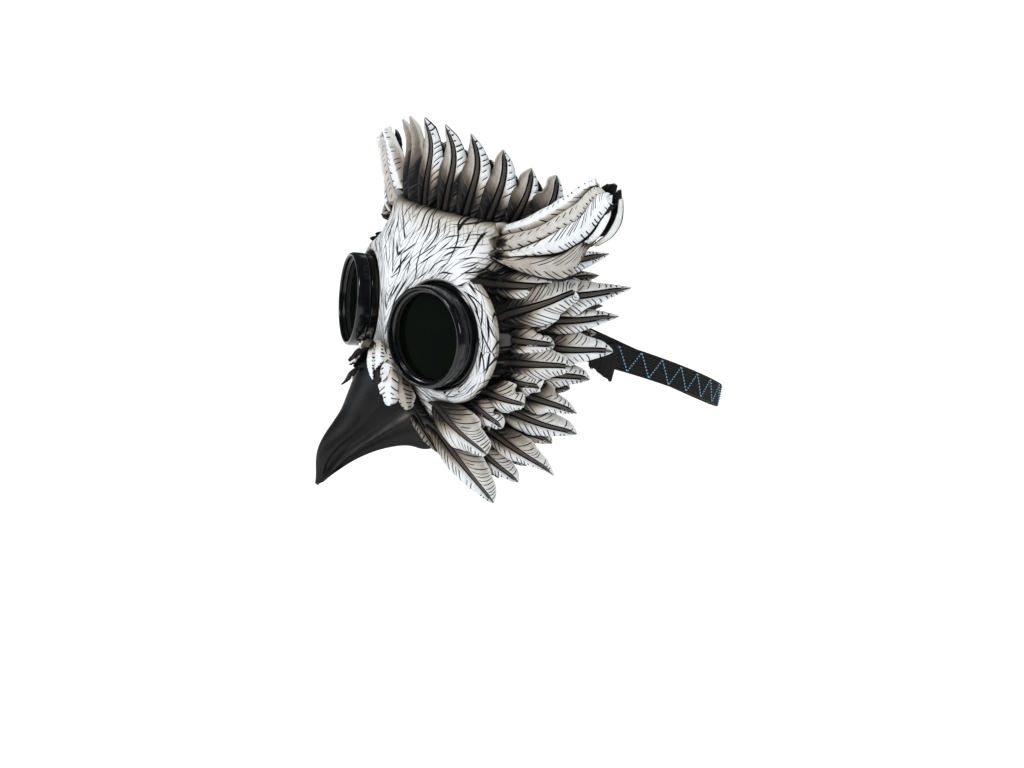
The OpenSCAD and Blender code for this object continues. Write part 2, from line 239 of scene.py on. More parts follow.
def feather_paint():
    """White latex with a grey-brown wash and painted shade in the hollows, a tan shaft and inked grooves."""
    p = Paint("feather_latex")
    leaf = p.attribute("leaf_mm", vector=True)
    hairs = p.noise(p.stretch(leaf, (1.5, 0.10, 1.0)), 1.0, 2.0, 0.5)
    hair = p.ramp(hairs, [(0.60, 0.0), (0.68, 1.0)])
    # the wash value is mostly painted shade: hollows, roots and shaded vanes, besides the leaf's grey wash
    wash = smudged(p, p.attribute("wash"))
    paint = p.ramp(wash, WASH_AND_SHADE_STOPS)
    paint = p.mix(p.math("MULTIPLY", hair, 0.42), paint, (0.16, 0.15, 0.14))
    streak = p.noise(p.stretch(leaf, (0.25, 2.4, 1.0)), 1.0, 2.0)
    shaft = p.mix(streak, (0.022, 0.018, 0.015), (0.105, 0.088, 0.070))
    shaft = p.mix(p.math("MULTIPLY", wash, 0.8), shaft, INK)
    paint = p.mix(p.attribute("shaft"), paint, shaft)
    ink = p.ramp(p.attribute("ink"), [(0.22, 0.0), (0.55, 1.0)])
    paint = p.mix(ink, paint, INK)
    grain = p.noise(p.place(), 2.2, 3.0, 0.6)
    relief = p.math("SUBTRACT", p.math("MULTIPLY", grain, 0.5), p.math("MULTIPLY", hair, 0.6))
    rough = p.ramp(grain, [(0.3, 0.42), (0.7, 0.58)])
    return p.finish(Base_Color=paint, Roughness=rough, Normal=p.bump(relief, 0.00018, 0.7),
                    Specular_IOR_Level=0.12)


# Pen strokes: length of a stroke and width of its soft edge in millimetres, and how slowly its ends taper.
STROKE_RUN, STROKE_SOFT, STROKE_TAPER = 15.0, 0.16, 0.22


def strokes(p, flow, spacing, slope, width, keep, seed):
    """Broken, tapering pen strokes: a wavy family of lines, each line with gaps of its own.

    flow is in millimetres, across and then along the strokes; slope tilts the family. A higher keep
    leaves fewer strokes.
    """
    parts = p.node("SeparateXYZ", {0: flow}).outputs
    wave = p.noise(p.stretch(flow, (1 / 24.0, 1 / 38.0, 1.0), (seed, 0.0, 0.0)), 1.0, 1.0)
    line = p.math("MULTIPLY_ADD", parts[0], 1 / spacing, p.math("MULTIPLY", parts[1], slope / spacing))
    line = p.math("MULTIPLY_ADD", wave, 13.0 / spacing, line)
    off = p.math("ABSOLUTE", p.math("SUBTRACT", p.math("FRACT", line), 0.5))
    own = p.math("MULTIPLY_ADD", p.math("FLOOR", line), 7.13, seed)
    spot = p.node("CombineXYZ", {0: own, 1: p.math("MULTIPLY", parts[1], 1 / STROKE_RUN), 2: seed}).outputs[0]
    gate = p.noise(spot, 1.0, 0.0)
    reach = p.node("MapRange", {0: gate, 1: keep, 2: keep + STROKE_TAPER, 3: 0.0, 4: width / spacing}, clamp=True)
    edge = p.math("SUBTRACT", reach.outputs[0], off)
    return p.math("MULTIPLY", edge, spacing / STROKE_SOFT, clamp=True)


# Families of strokes on the face: spacing, slope, width, keep and seed.
BOLD = ((3.4, 0.0, 0.50, 0.40, 2.0), (4.6, 0.30, 0.46, 0.42, 17.0), (5.0, -0.27, 0.42, 0.44, 31.0))
FINE = ((1.6, 0.12, 0.27, 0.38, 5.0), (2.0, -0.16, 0.24, 0.40, 43.0))


def face_paint():
    """White latex skin with branching inked strokes that flow up from the nose bridge."""
    p = Paint("white_latex")
    share = p.ramp(p.attribute("around_share"), [(0.42, 0.0), (0.58, 1.0)])
    flow = p.mix(share, p.attribute("fan_mm", vector=True), p.attribute("around_mm", vector=True))
    bold = strokes(p, flow, *BOLD[0])
    for family in BOLD[1:]:
        bold = p.math("MAXIMUM", bold, strokes(p, flow, *family))
    hair = p.math("MAXIMUM", strokes(p, flow, *FINE[0]), strokes(p, flow, *FINE[1]))
    # the wash value on the face is painted shade and shadow, with an even grey inside the shell
    wash = smudged(p, p.attribute("wash"), 0.13)
    paint = p.ramp(wash, WASH_AND_SHADE_STOPS)
    paint = p.mix(p.math("MULTIPLY", hair, 0.8), paint, (0.10, 0.097, 0.092))
    paint = p.mix(bold, paint, INK)
    grain = p.noise(p.place(), 2.0, 3.0, 0.6)
    relief = p.math("SUBTRACT", p.math("MULTIPLY", grain, 0.25), bold)
    relief = p.math("SUBTRACT", relief, p.math("MULTIPLY", hair, 0.35))
    rough = p.ramp(grain, [(0.3, 0.42), (0.7, 0.56)])
    return p.finish(Base_Color=paint, Roughness=rough, Normal=p.bump(relief, 0.00035, 0.8),
                    Specular_IOR_Level=0.15)


def beak_paint():
    """Satin black rubber, dusty brown-grey in patches; the dust value also holds a painted highlight along the side
    crease and painted shade in the hollow above it.
    """
    p = Paint("black_rubber")
    cloud = p.noise(p.place(), 0.11, 4.0, 0.6)
    fine = p.noise(p.place(), 1.4, 3.0, 0.6)
    uneven = p.math("MULTIPLY", p.math("SUBTRACT", cloud, 0.5), 0.5)
    # the dust value carries painted light too: a highlight along the crease and shade in the hollow above it
    dust = p.math("ADD", p.attribute("dust"), uneven, clamp=True)
    paint = p.ramp(dust, [(0.0, (0.002, 0.002, 0.0026)), (0.35, (0.006, 0.006, 0.007)),
                          (0.7, (0.030, 0.028, 0.026)), (1.0, (0.15, 0.136, 0.122))])
    specks = p.math("MULTIPLY", p.ramp(fine, [(0.55, 0.0), (0.8, 1.0)]), 0.16)
    paint = p.mix(specks, paint, (0.05, 0.05, 0.05))
    rough = p.ramp(p.math("ADD", cloud, p.math("MULTIPLY", fine, 0.3)), [(0.4, 0.36), (0.9, 0.56)])
    height = p.math("ADD", p.math("MULTIPLY", fine, 0.4), cloud)
    return p.finish(Base_Color=paint, Roughness=rough, Normal=p.bump(height, 0.0005, 0.5),
                    Specular_IOR_Level=0.22)


def gloss_paint():
    """Polished black moulding with faint rubbed haze."""
    p = Paint("gloss_black")
    haze = p.noise(p.place(), 0.25, 4.0, 0.65)
    fine = p.noise(p.place(), 3.0, 2.0)
    paint = p.ramp(haze, [(0.3, (0.0015, 0.002, 0.0025)), (0.8, (0.005, 0.006, 0.007))])
    rough = p.ramp(haze, [(0.35, 0.10), (0.75, 0.24)])
    return p.finish(Base_Color=paint, Roughness=rough, Normal=p.bump(fine, 0.00003, 0.3),
                    Coat_Weight=0.12, Coat_Roughness=0.05, Specular_IOR_Level=0.3)


def lens_paint():
    """Nearly black green glass."""
    p = Paint("tinted_lens")
    haze = p.noise(p.place(), 0.06, 2.0)
    paint = p.ramp(haze, [(0.3, (0.0008, 0.0018, 0.0012)), (0.8, (0.0014, 0.0030, 0.0020))])
    rough = p.ramp(haze, [(0.2, 0.05), (0.9, 0.11)])
    return p.finish(Base_Color=paint, Roughness=rough, Specular_IOR_Level=0.012)


def dull_paint(name, dark, light, rough_from, rough_to, grain):
    """A matte moulded or die-cut part: two tones, with grain in colour and relief."""
    p = Paint(name)
    spots = p.noise(p.place(), grain, 4.0, 0.6)
    rough = p.ramp(spots, [(0.3, rough_from), (0.7, rough_to)])
    return p.finish(Base_Color=p.ramp(spots, [(0.3, dark), (0.75, light)]), Roughness=rough,
                    Normal=p.bump(spots, 0.0002, 0.5))


def elastic_paint():
    """Black knitted elastic: fine cross threads over the ribs."""
    p = Paint("black_elastic")
    band = p.attribute("band_mm", vector=True)
    cross = p.wave(p.stretch(band, (1.0, 0.15, 1.0)), 0.42, 1.2, "X", **{"Detail": 2.0, "Detail Scale": 2.0})
    fuzz = p.noise(p.stretch(band, (1.0, 2.0, 1.0)), 2.5, 3.0, 0.7)
    tone = p.math("MULTIPLY", cross, fuzz)
    paint = p.ramp(tone, [(0.1, (0.0015, 0.0015, 0.0018)), (0.7, (0.011, 0.0115, 0.0135))])
    height = p.math("ADD", cross, p.math("MULTIPLY", fuzz, 0.5))
    return p.finish(Base_Color=paint, Roughness=p.ramp(fuzz, [(0.2, 0.62), (0.8, 0.85)]),
                    Normal=p.bump(height, 0.00025, 0.8), Specular_IOR_Level=0.25)


def thread_paint():
    """Pale blue sewing thread with a ply twist."""
    p = Paint("blue_thread")
    twist = p.wave(p.place(), 1.2, 2.0, "DIAGONAL")
    paint = p.ramp(twist, [(0.2, (0.08, 0.17, 0.26)), (0.8, (0.24, 0.42, 0.55))])
    return p.finish(Base_Color=paint, Roughness=p.ramp(twist, [(0.0, 0.5), (1.0, 0.7)]),
                    Normal=p.bump(twist, 0.0001, 0.6))


def canvas_paint():
    """Dark woven patch."""
    p = Paint("patch_canvas")
    weave = p.math("MULTIPLY", p.wave(p.place(), 0.7, 0.6, "Y"), p.wave(p.place(), 0.7, 0.6, "Z"))
    paint = p.ramp(weave, [(0.0, (0.010, 0.010, 0.011)), (0.9, (0.060, 0.058, 0.055))])
    return p.finish(Base_Color=paint, Roughness=p.ramp(weave, [(0.0, 0.8), (1.0, 0.95)]),
                    Normal=p.bump(weave, 0.0003, 0.8))


def floor_paint():
    """A pale painted floor with a faint mottle."""
    p = Paint("floor_paint")
    cloud = p.noise(p.place(), 0.004, 3.0)
    paint = p.ramp(cloud, [(0.3, (0.97, 0.97, 0.97)), (0.7, (0.985, 0.985, 0.985))])
    rough = p.ramp(cloud, [(0.3, 0.7), (0.7, 0.8)])
    return p.finish(Base_Color=paint, Roughness=rough, Specular_IOR_Level=0.0)


# ---------------------------------------------------------------- mesh helpers
def smooth(lo, hi, x):
    """0 below lo, 1 above hi, and an eased rise between them."""
    t = np.clip((np.asarray(x, float) - lo) / (hi - lo), 0.0, 1.0)
    return t * t * (3 - 2 * t)


def unit(v):
    v = np.asarray(v, float)
    return v / np.maximum(np.linalg.norm(v, axis=-1, keepdims=True), 1e-9)


def smooth_curve(points, u):
    """A smooth curve through evenly spaced points, at the shares u of its way."""
    points = np.asarray(points, float)
    n = len(points) - 1
    padded = np.concatenate([[2 * points[0] - points[1]], points, [2 * points[-1] - points[-2]]])
    t = np.clip(u, 0, 1) * n
    i = np.minimum(t.astype(int), n - 1)
    t = (t - i)[:, None]
    a, b, c, d = (padded[i + j] for j in range(4))
    return b + 0.5 * t * (c - a + t * (2 * a - 5 * b + 4 * c - d + t * (3 * (b - c) + d - a)))


def along_table(x, places, table):
    """The rows of a table at the places x between the places of its own rows."""
    return np.stack([np.interp(x, places, table[:, c]) for c in range(table.shape[1])], -1)


def facing(normals, hint):
    """The normals, turned over where they point away from the hint."""
    side = np.sign(np.sum(normals * hint, -1, keepdims=True))
    return normals * np.where(side == 0, 1, side)


def sheet_faces(rows, columns):
    """Quads between neighbouring rows of a grid of points."""
    return [(j * columns + i, j * columns + i + 1, (j + 1) * columns + i + 1, (j + 1) * columns + i)
            for j in range(rows - 1) for i in range(columns - 1)]


class Skin:
    """Vertices in millimetres, faces and named values per vertex, gathered from several parts."""

    def __init__(self):
        self.points, self.faces, self.values, self.count = [], [], {}, 0

    def add(self, points, faces, **values):
        points = np.asarray(points, float).reshape(-1, 3)
        self.points.append(points)
        self.faces += [tuple(int(i) + self.count for i in f) for f in faces]
        for name, value in values.items():
            self.values.setdefault(name, []).append((self.count, np.asarray(value, float)))
        self.count += len(points)

    def build(self, name, material, sharp=50.0):
        mesh = bpy.data.meshes.new(name)
        points = np.concatenate(self.points)
        mesh.from_pydata((points * MM).tolist(), [], self.faces)
        for key, parts in self.values.items():
            wide = parts[0][1].ndim == 2
            full = np.zeros((len(points), 3) if wide else len(points), np.float32)
            for start, value in parts:
                full[start:start + len(value)] = value
            made = mesh.attributes.new(key, "FLOAT_VECTOR" if wide else "FLOAT", "POINT")
            made.data.foreach_set("vector" if wide else "value", full.ravel())
        mesh.materials.append(material)
        mesh.shade_smooth()
        mesh.set_sharp_from_angle(angle=math.radians(sharp))
        piece = bpy.data.objects.new(name, mesh)
        bpy.context.scene.collection.objects.link(piece)
        return piece


def tube_faces(rows, ring, closed=False):
    """Quads between successive closed rings of points, and a cap at each end unless it closes on itself."""
    faces = []
    for j in range(rows if closed else rows - 1):
        a, b = j * ring, (j + 1) % rows * ring
        for i in range(ring):
            k = (i + 1) % ring
            faces.append((a + i, a + k, b + k, b + i))
    if not closed:
        faces.append(tuple(range(ring - 1, -1, -1)))
        faces.append(tuple((rows - 1) * ring + i for i in range(ring)))
    return faces


def lathe(outline, steps):
    """Points and faces of a closed outline of (radius, height) turned about Z."""
    turn = np.linspace(0, 2 * math.pi, steps, endpoint=False)
    r, h = outline[:, 0], outline[:, 1]
    points = np.stack([np.outer(np.cos(turn), r), np.outer(np.sin(turn), r),
                       np.broadcast_to(h, (steps, len(h)))], -1)
    return points.reshape(-1, 3), tube_faces(steps, len(outline), closed=True)


def rounded(outline, radius):
    """The closed outline with each corner turned into an arc-like curve."""
    outline = np.array(outline, float)
    made = []
    for i, b in enumerate(outline):
        a, c = outline[i - 1], outline[(i + 1) % len(outline)]
        u, v = a - b, c - b
        k = min(radius, 0.45 * np.linalg.norm(u), 0.45 * np.linalg.norm(v))
        p, q = b + unit(u) * k, b + unit(v) * k
        for t in np.linspace(0, 1, 4):
            made.append((1 - t) ** 2 * p + 2 * t * (1 - t) * b + t * t * q)
    return np.array(made)


# ---------------------------------------------------------------- where things are
SIDE_NAME = {1: "left", -1: "right"}
UP = np.array([0.0, 0.0, 1.0])
# Each eyecup's seat, its axis and the level direction across it, from the bezels' joints.
turns = {j["name"]: j for j in frame["joints"]}
EYE = {side: np.array(turns[word + "_bezel_turn"]["pos_m"]) / MM for side, word in SIDE_NAME.items()}
AXIS = {side: np.array(turns[word + "_bezel_turn"]["axis"]) for side, word in SIDE_NAME.items()}
ACROSS = {side: np.array([-axis[1], axis[0], 0.0]) * side for side, axis in AXIS.items()}

# The head-like surface of the mask, as in the CAD: sizes in millimetres and the bluntness of its plan.
HALF_W, DEPTH, HEAD_Y, MID_Z, DOME_H, JAW_H = 84.0, 103.0, 75.0, 10.0, 105.0, 150.0
BLUNT = 0.8
FOREHEAD_Z = 72.0
# The shell's thickness, and the azimuth in degrees where its sides end.
WALL, SHELL_AZ = 2.5, 78


def shrink(z):
    z = np.asarray(z, float)
    return np.sqrt(np.maximum(0.02, 1 - ((z - MID_Z) / np.where(z > MID_Z, DOME_H, JAW_H)) ** 2))


def on_face(az, z, lift=0.0):
    """The point of the head-like surface at an azimuth in degrees and a height, lifted off it."""
    s, c, k = np.sin(np.radians(az)), np.cos(np.radians(az)), shrink(z)
    return np.stack([(HALF_W * k + lift) * np.sign(s) * np.abs(s) ** BLUNT,
                     HEAD_Y - (DEPTH * k + lift) * np.sign(c) * np.abs(c) ** BLUNT,
                     np.broadcast_to(z, np.shape(s * k)) * 1.0], -1)


def off_face(p):
    """Above 0 outside the surface of on_face and below 0 inside it."""
    k = shrink(p[..., 2])
    return ((np.abs(p[..., 0]) / (HALF_W * k)) ** (2 / BLUNT)
            + (np.abs(HEAD_Y - p[..., 1]) / (DEPTH * k)) ** (2 / BLUNT) - 1)


SLOPE_STEP = 0.05


def face_rise(p):
    """How much off_face changes over SLOPE_STEP to both sides of each point, along each axis."""
    return np.stack([off_face(p + SLOPE_STEP * e) - off_face(p - SLOPE_STEP * e) for e in np.eye(3)], -1)


def outward(p):
    """The outward normal of the surface through each point."""
    return unit(face_rise(p))


def azimuth_of(p):
    """The azimuth at which on_face makes a point on the surface, in degrees."""
    share = np.clip(np.abs(p[..., 0]) / (HALF_W * shrink(p[..., 2])), 0, 1)
    return np.degrees(np.arcsin(share ** (1 / BLUNT)))


# How far under the face surface a root may go, and how far under it a point is no longer a root, in millimetres.
ROOT_DEEP, ROOT_LOST = 2.0, 16.0


def hold_in_wall(p):
    """Brings points that would stick out inside the mask back into the shell's wall."""
    slope = face_rise(p) / (2 * SLOPE_STEP)
    steep = np.maximum(np.linalg.norm(slope, axis=-1), 1e-6)
    depth = off_face(p) / steep
    az, z = azimuth_of(p), p[..., 2]
    under = (depth < -ROOT_DEEP) & (depth > -ROOT_LOST) & (az < SHELL_AZ) & (z < high_z(az)) & (z > low_z(az))
    return p + slope / steep[..., None] * np.where(under, -ROOT_DEEP - depth, 0.0)[..., None]


# ---------------------------------------------------------------- feathers
class Feather:
    """A feather's centre line root-mid-tip, its sideways and outward directions and its width."""

    def __init__(self, root, mid, tip, outward_hint, width):
        self.root, self.mid, self.tip = (np.asarray(v, float) for v in (root, mid, tip))
        along = unit(self.tip - self.root)
        self.side = unit(np.cross(along, outward_hint))
        self.up = np.cross(self.side, along)
        self.width = width

    def between(self, other, sink, width):
        """A feather half way to another one, sunk below both."""
        up = unit((self.up + other.up) / 2)
        places = [(a + b) / 2 - up * sink
                  for a, b in ((self.root, other.root), (self.mid, other.mid), (self.tip, other.tip))]
        return Feather(*places, up, width * (self.width + other.width) / 2)


def read_feathers(node):
    """Each feather of a CAD node, read from its rings of four corners (edge, top, edge, bottom)."""
    mesh = frame["nodes"][node].data
    co = np.array([v.co for v in mesh.vertices]) / MM
    keys, place = np.unique(np.round(co, 2), axis=0, return_inverse=True)
    place = place.ravel()
    links = [set() for _ in keys]
    for edge in mesh.edges:
        a, b = place[edge.vertices[0]], place[edge.vertices[1]]
        if a != b:
            links[a].add(b)
            links[b].add(a)
    left, found = set(range(len(keys))), []
    while left:
        island, front = set(), {next(iter(left))}
        while front:
            island |= front
            front = set().union(*(links[i] for i in front)) - island
        left -= island
        found.append(feather_from(keys, links, sorted(island)))
    return sorted((f for f in found if f is not None), key=lambda f: (-round(f.root[2]), f.root[0]))


def feather_from(points, links, island):
    """One feather from the corners of a closed skin of four-cornered rings."""
    p = points[island]
    reach = np.sort(np.linalg.norm(p[:, None] - p[None], axis=-1), axis=1)[:, 3]
    start = island[int(np.argmin(reach))]
    order = sorted(island, key=lambda i: np.linalg.norm(points[i] - points[start]))
    ring = set(order[:4])
    rings, seen = [ring], set(ring)
    while True:
        ring = set().union(*(links[i] for i in ring)) - seen
        if not ring:
            break
        rings.append(ring)
        seen |= ring
    rings = [points[sorted(r)] for r in rings][::-1]
    if len(rings) < 5 or any(len(r) != 4 for r in rings):
        return None
    middles = np.array([r.mean(0) for r in rings])
    wide = rings[len(rings) // 2]
    pairs = [(np.linalg.norm(wide[i] - wide[j]), i, j) for i in range(4) for j in range(i)]
    _, i, j = max(pairs)
    k, m = (n for n in range(4) if n not in (i, j))
    up = unit(wide[k] - wide[m])
    if up @ (middles.mean(0) - np.array([0.0, HEAD_Y, MID_Z])) < 0:
        up = -up
    widest = max(max(np.linalg.norm(r[a] - r[b]) for a in range(4) for b in range(a)) for r in rings)
    return Feather(middles[0], middles[len(middles) // 2], middles[-1], up, widest)


# What a leaf can be told, by its shape, its cuts and lines, and its paint.
LEAF = dict(grow=1.0, widen=1.12, blunt=0.5, slant=1.35, curl=18.0, curl_from=0.72, hook=0.0, twist=0.0, wave=0.6,
            bulge=1.5, droop=1.3, dome=0.0, thick=2.0, torn=0.0, edges=None, back=12.0, run_slope=0.12, vary=1.0,
            step=4.1, groove=0.6, cut_short=0.25, plain_dark=0.0, shaft=1.5, ridge=1.0, line_ink=1.0,
            edge_line=0.8, line_from=0.97,
            wash=0.0, root_dark=1.0, reach=0.32, dark=0.34, dark_side=0, dark_lean=0.25, dark_fade=0.7, tip_dark=0.0)
# Columns of a vane, as shares of its width.
VANE = np.array([0.0, 0.13, 0.28, 0.44, 0.60, 0.75, 0.88, 0.96, 1.0])
# Columns on the shaft: share of its width, height, ink and how tan; then the columns of the groove beside it.
SHAFT = ((0.0, 0.55, 0.0, 1.0), (0.55, 0.45, 0.0, 1.0), (0.85, 0.12, 0.15, 0.9))
GROOVE = (0.28, 0.72)


class Centre:
    """A leaf's centre line, curled and hooked toward its tip, and its half width."""

    def __init__(self, f, k):
        self.k, self.fine = k, np.linspace(0, 1, 161)
        bow = f.mid - (f.root + f.tip) / 2
        line = f.root + np.outer(self.fine, f.tip - f.root) + np.outer(4 * self.fine * (1 - self.fine), bow)
        line = f.root + (line - f.root) * k["grow"]
        across = np.broadcast_to(f.side, line.shape)
        self.half, self.spread, self.lined_side = f.width / 2 * k["widen"], None, -k["dark_side"]
        if k["edges"] is not None:
            one, other = (smooth_curve(points, self.fine) for points in k["edges"])
            line, across = (one + other) / 2, unit(one - other)
            if np.sum(np.cross(across, np.gradient(line, axis=0)) * f.up) < 0:
                across = -across
            self.spread = np.linalg.norm(one - other, axis=-1) / 2
            self.lined_side = 1 if np.sum(across * (other - one)) > 0 else -1
        steps = np.diff(line, axis=0)
        size = np.linalg.norm(steps, axis=1, keepdims=True)
        mid = (self.fine[1:] + self.fine[:-1]) / 2
        bend = np.radians(k["curl"]) * smooth(k["curl_from"], 1.0, mid) ** 1.3
        hook = np.radians(k["hook"]) * smooth(0.35, 1.0, mid)
        head = unit(steps)
        rise = unit(np.cross(across[1:], head))
        head = head * np.cos(bend)[:, None] + rise * np.sin(bend)[:, None]
        head = unit(head * np.cos(hook)[:, None] + across[1:] * np.sin(hook)[:, None])
        self.length = float(size.sum())
        self.line = np.concatenate([line[:1], line[:1] + np.cumsum(head * size, axis=0)])
        self.across = across
        self.up = unit(np.cross(across, np.concatenate([head[:1], (head[1:] + head[:-1]) / 2, head[-1:]])))
        skin_up = outward(f.root)
        self.run_back = unit(head[0] - skin_up * (head[0] @ skin_up)) - skin_up * k["run_slope"]

    def half_width(self, u):
        u = np.clip(u, 0, 1)
        if self.spread is not None:
            return np.interp(u, self.fine, self.spread) + 0.25
        blunt = self.k["blunt"]
        point, power = (1.5, 1.05) if blunt < 0.34 else (2.0, 0.8) if blunt < 0.67 else (2.6, 0.58)
        rise = 0.66 + 0.34 * np.sin(np.pi / 2 * np.minimum(1, np.maximum(u, 0) / 0.42))
        fall = np.maximum(1 - np.clip((u - 0.42) / 0.58, 0, 1) ** point, 0) ** power
        return self.half * rise * fall + 0.25

    def place(self, u, x, h):
        """The points x beside the line and h above it; before its root it runs straight back."""
        line, across, up = (along_table(np.clip(u, 0, 1), self.fine, table)
                            for table in (self.line, self.across, self.up))
        line = line + np.minimum(u, 0)[:, None] * self.length * self.run_back
        twist = math.radians(self.k["twist"]) * u[:, None]
        x_way = across * np.cos(twist) + up * np.sin(twist)
        up_way = up * np.cos(twist) - across * np.sin(twist)
        return line + x_way * x[:, None] + up_way * h[:, None]


def leaf_rows(k, length, rng):
    """Where the rows of a leaf are, the barb cut at each or -1, 1 on a barb's floor, and the count of barbs."""
    rows = [(-k["back"], -1, 0.0)]
    s, count = 1.5 - k["back"], 0
    while s < length * 0.965:
        # a barb is a groove with two floor rows between two bank rows
        rows += [(s + off, count, floor) for off, floor in ((-0.65, 0.0), (-0.28, 1.0), (0.28, 1.0), (0.65, 0.0))]
        step = k["step"] * rng.uniform(0.72, 1.3) * (1.0 if s < 0.75 * length else 0.75)
        if step > 2.2:
            rows.append((s + step / 2, -1, 0.0))
        s += step
        count += 1
    plain = [length * 0.985, length]
    if k["step"] > 20:
        plain += list(np.arange(2.5, length - 1.5, 1.5))
    rows += [(place, -1, 0.0) for place in plain]
    rows = np.array(sorted(rows, key=lambda row: row[0]))
    return np.maximum.accumulate(rows[:, 0]), rows[:, 1].astype(int), rows[:, 2], count


def vane_columns(k, centre, s, barb_of, floor, count, near_tip, is_dark, rng):
    """One vane from the shaft's middle to the edge: across, height, ink, tan and share, a column each."""
    n, length = len(s), centre.length
    start = rng.uniform(0.02, 0.22, count + 1)
    stop = np.where(rng.random(count + 1) < k["cut_short"], rng.uniform(0.45, 0.85, count + 1), 1.2)
    deep = np.where(rng.random(count + 1) < 0.1, 0.0, rng.uniform(0.7, 1.0, count + 1))
    deep = deep * (1 - k["plain_dark"] * is_dark)
    jog = np.interp(s, np.linspace(0, length, 7), rng.uniform(-1.1, 1.1, 7))
    ripple = np.interp(s, np.linspace(0, length, 9), rng.uniform(-1, 1, 9)) * k["wave"]
    width_ripple = np.interp(s, np.linspace(0, length, 8), rng.uniform(-1, 1, 8)) * 0.05
    lean = -k["dark_lean"] if is_dark else 0.08
    u0 = np.clip(s / length, 0, 1)
    hw0 = centre.half_width(u0)
    shaft = np.minimum(k["shaft"] * (1 - 0.78 * u0) + 0.1, 0.34 * hw0)
    bank = np.minimum(1.0, hw0 / 3.0)
    dome = k["dome"] * np.minimum(1, hw0 / 5.0)
    none = np.zeros(n)
    columns = [(shaft * x, h * bank * k["ridge"] + dome, none + ink * k["ridge"], none + tan * k["ridge"], none)
               for x, h, ink, tan in SHAFT]
    line_ink = np.where(u0 < 0.93, 1.25 * k["line_ink"], 0.0)
    columns += [(shaft + x * bank, -0.8 * bank * k["line_ink"] + dome, line_ink, none, none) for x in GROOVE]
    edge0 = shaft + 1.15 * bank
    for g in VANE:
        x = edge0 + g * (hw0 - edge0)
        u = (s + k["slant"] * x * near_tip + jog * min(1.0, 4 * g) * near_tip) / length
        hw = centre.half_width(u) * (1 + width_ripple * g)
        if k["torn"] and not is_dark:
            hw = hw * (1 - k["torn"] * g * smooth(0.70, 0.74, u) * (1 - smooth(0.86, 0.99, u)))
        x = np.minimum(edge0, 0.5 * hw) + g * (hw - np.minimum(edge0, 0.5 * hw))
        cut = smooth(-0.05, 0.06, g - start[barb_of]) * (1 - smooth(-0.04, 0.10, g - stop[barb_of]))
        cut = cut * deep[barb_of] * floor * (barb_of >= 0) * smooth(0.0, 0.12, near_tip)
        arch = k["bulge"] * np.sin(np.pi * min(1.0, g ** 0.8)) - k["droop"] * g ** 2.2
        arch = arch + ripple * g * g + 0.35 * (1 - g) ** 3 * k["ridge"] + k["dome"] * (1 - g * g)
        height = arch * np.minimum(1, hw / 4.0) + lean * x * g - k["groove"] * cut * (1 - 0.3 * g)
        columns.append((x - 0.35 * cut * (g > 0.95), height, cut * (0.95 if g < 0.97 else 0.7), none, none + g))
    return columns


def leaf_grid(f, rng, **changed):
    """The moulded feather: a shaft between two grooves, slanted barbs cut in both vanes, a thick rim.

    Returns its rings of points and the values painted on them.
    """
    k = {**LEAF, **changed}
    k["curl"] += k["vary"] * rng.uniform(-14, 22)
    k["hook"] += k["vary"] * rng.uniform(-9, 9)
    k["twist"] += k["vary"] * rng.uniform(-9, 9)
    k["blunt"] = float(np.clip(k["blunt"] + k["vary"] * rng.uniform(-0.25, 0.25), 0, 1))
    k["widen"] *= 1 + k["vary"] * rng.uniform(-0.05, 0.09)
    centre = Centre(f, k)
    s, barb_of, floor, count = leaf_rows(k, centre.length, rng)
    near_tip = np.minimum(1, 1.7 * (1 - np.clip(s / centre.length, 0, 1)))
    vanes = {sigma: vane_columns(k, centre, s, barb_of, floor, count, near_tip, sigma == k["dark_side"], rng)
             for sigma in (-1, 1)}
    made = {"grid": [], "ink": [], "shaft": [], "frac": [], "u": [], "mm": []}

    def add_column(sigma, x, h, ink, tan, frac, layer=0.0):
        u = (s + k["slant"] * x * near_tip) / centre.length
        x = (sigma or 1) * x
        mm = np.stack([s + sigma * 40.0, x, np.full(len(s), layer)], -1)
        for name, value in zip(made, (centre.place(u, x, h), ink, tan, sigma * frac, u, mm)):
            made[name].append(value)

    top = [(-1, column) for column in vanes[-1][::-1]] + [(1, column) for column in vanes[1][1:]]
    for sigma, (x, h, ink, tan, frac) in top:
        # a black line along the edge that tucks under the next leaf: painted shadow in that crevice, drawn like the
        # mask's inked outlines
        outline = (k["edge_line"] - 1) * (sigma == centre.lined_side) * (frac > k["line_from"])
        add_column(sigma, x, h, np.maximum(ink, outline), tan, frac)
    # rim and underside
    thick = k["thick"] * (0.45 + 0.55 * np.minimum(1, centre.half_width(s / centre.length) / 5))
    none = np.zeros(len(s))
    for sigma, share in ((1, "rim"), (1, 0.92), (1, 0.45), (0, 0.0), (-1, 0.45), (-1, 0.92), (-1, "rim")):
        edge, edge_h = vanes[sigma or 1][-1][:2]
        # the rim along that edge is inked as well: the same painted shadow
        lined = sigma == centre.lined_side and share in ("rim", 0.92)
        if share == "rim":
            x, h = edge + 0.3 * np.minimum(1, edge), edge_h - 0.45 * thick
        elif share == 0.0:
            x, h = none, -thick
        else:
            x, h = edge * share, (edge_h if share > 0.9 else vanes[sigma][8][1]) - thick
        add_column(sigma, x, h, none + (min(1.0, k["edge_line"]) if lined else 0.0), none, none + 1.0, 9.0)
    made = {name: np.stack(columns, 1) for name, columns in made.items()}
    made["grid"] = hold_in_wall(made["grid"])
    return {"top": len(top), "k": k, **made}


# Rays per point and how far they look, in millimetres.
RAYS, RAY_REACH = 22, 20.0
GOLDEN_ANGLE = 2.399963


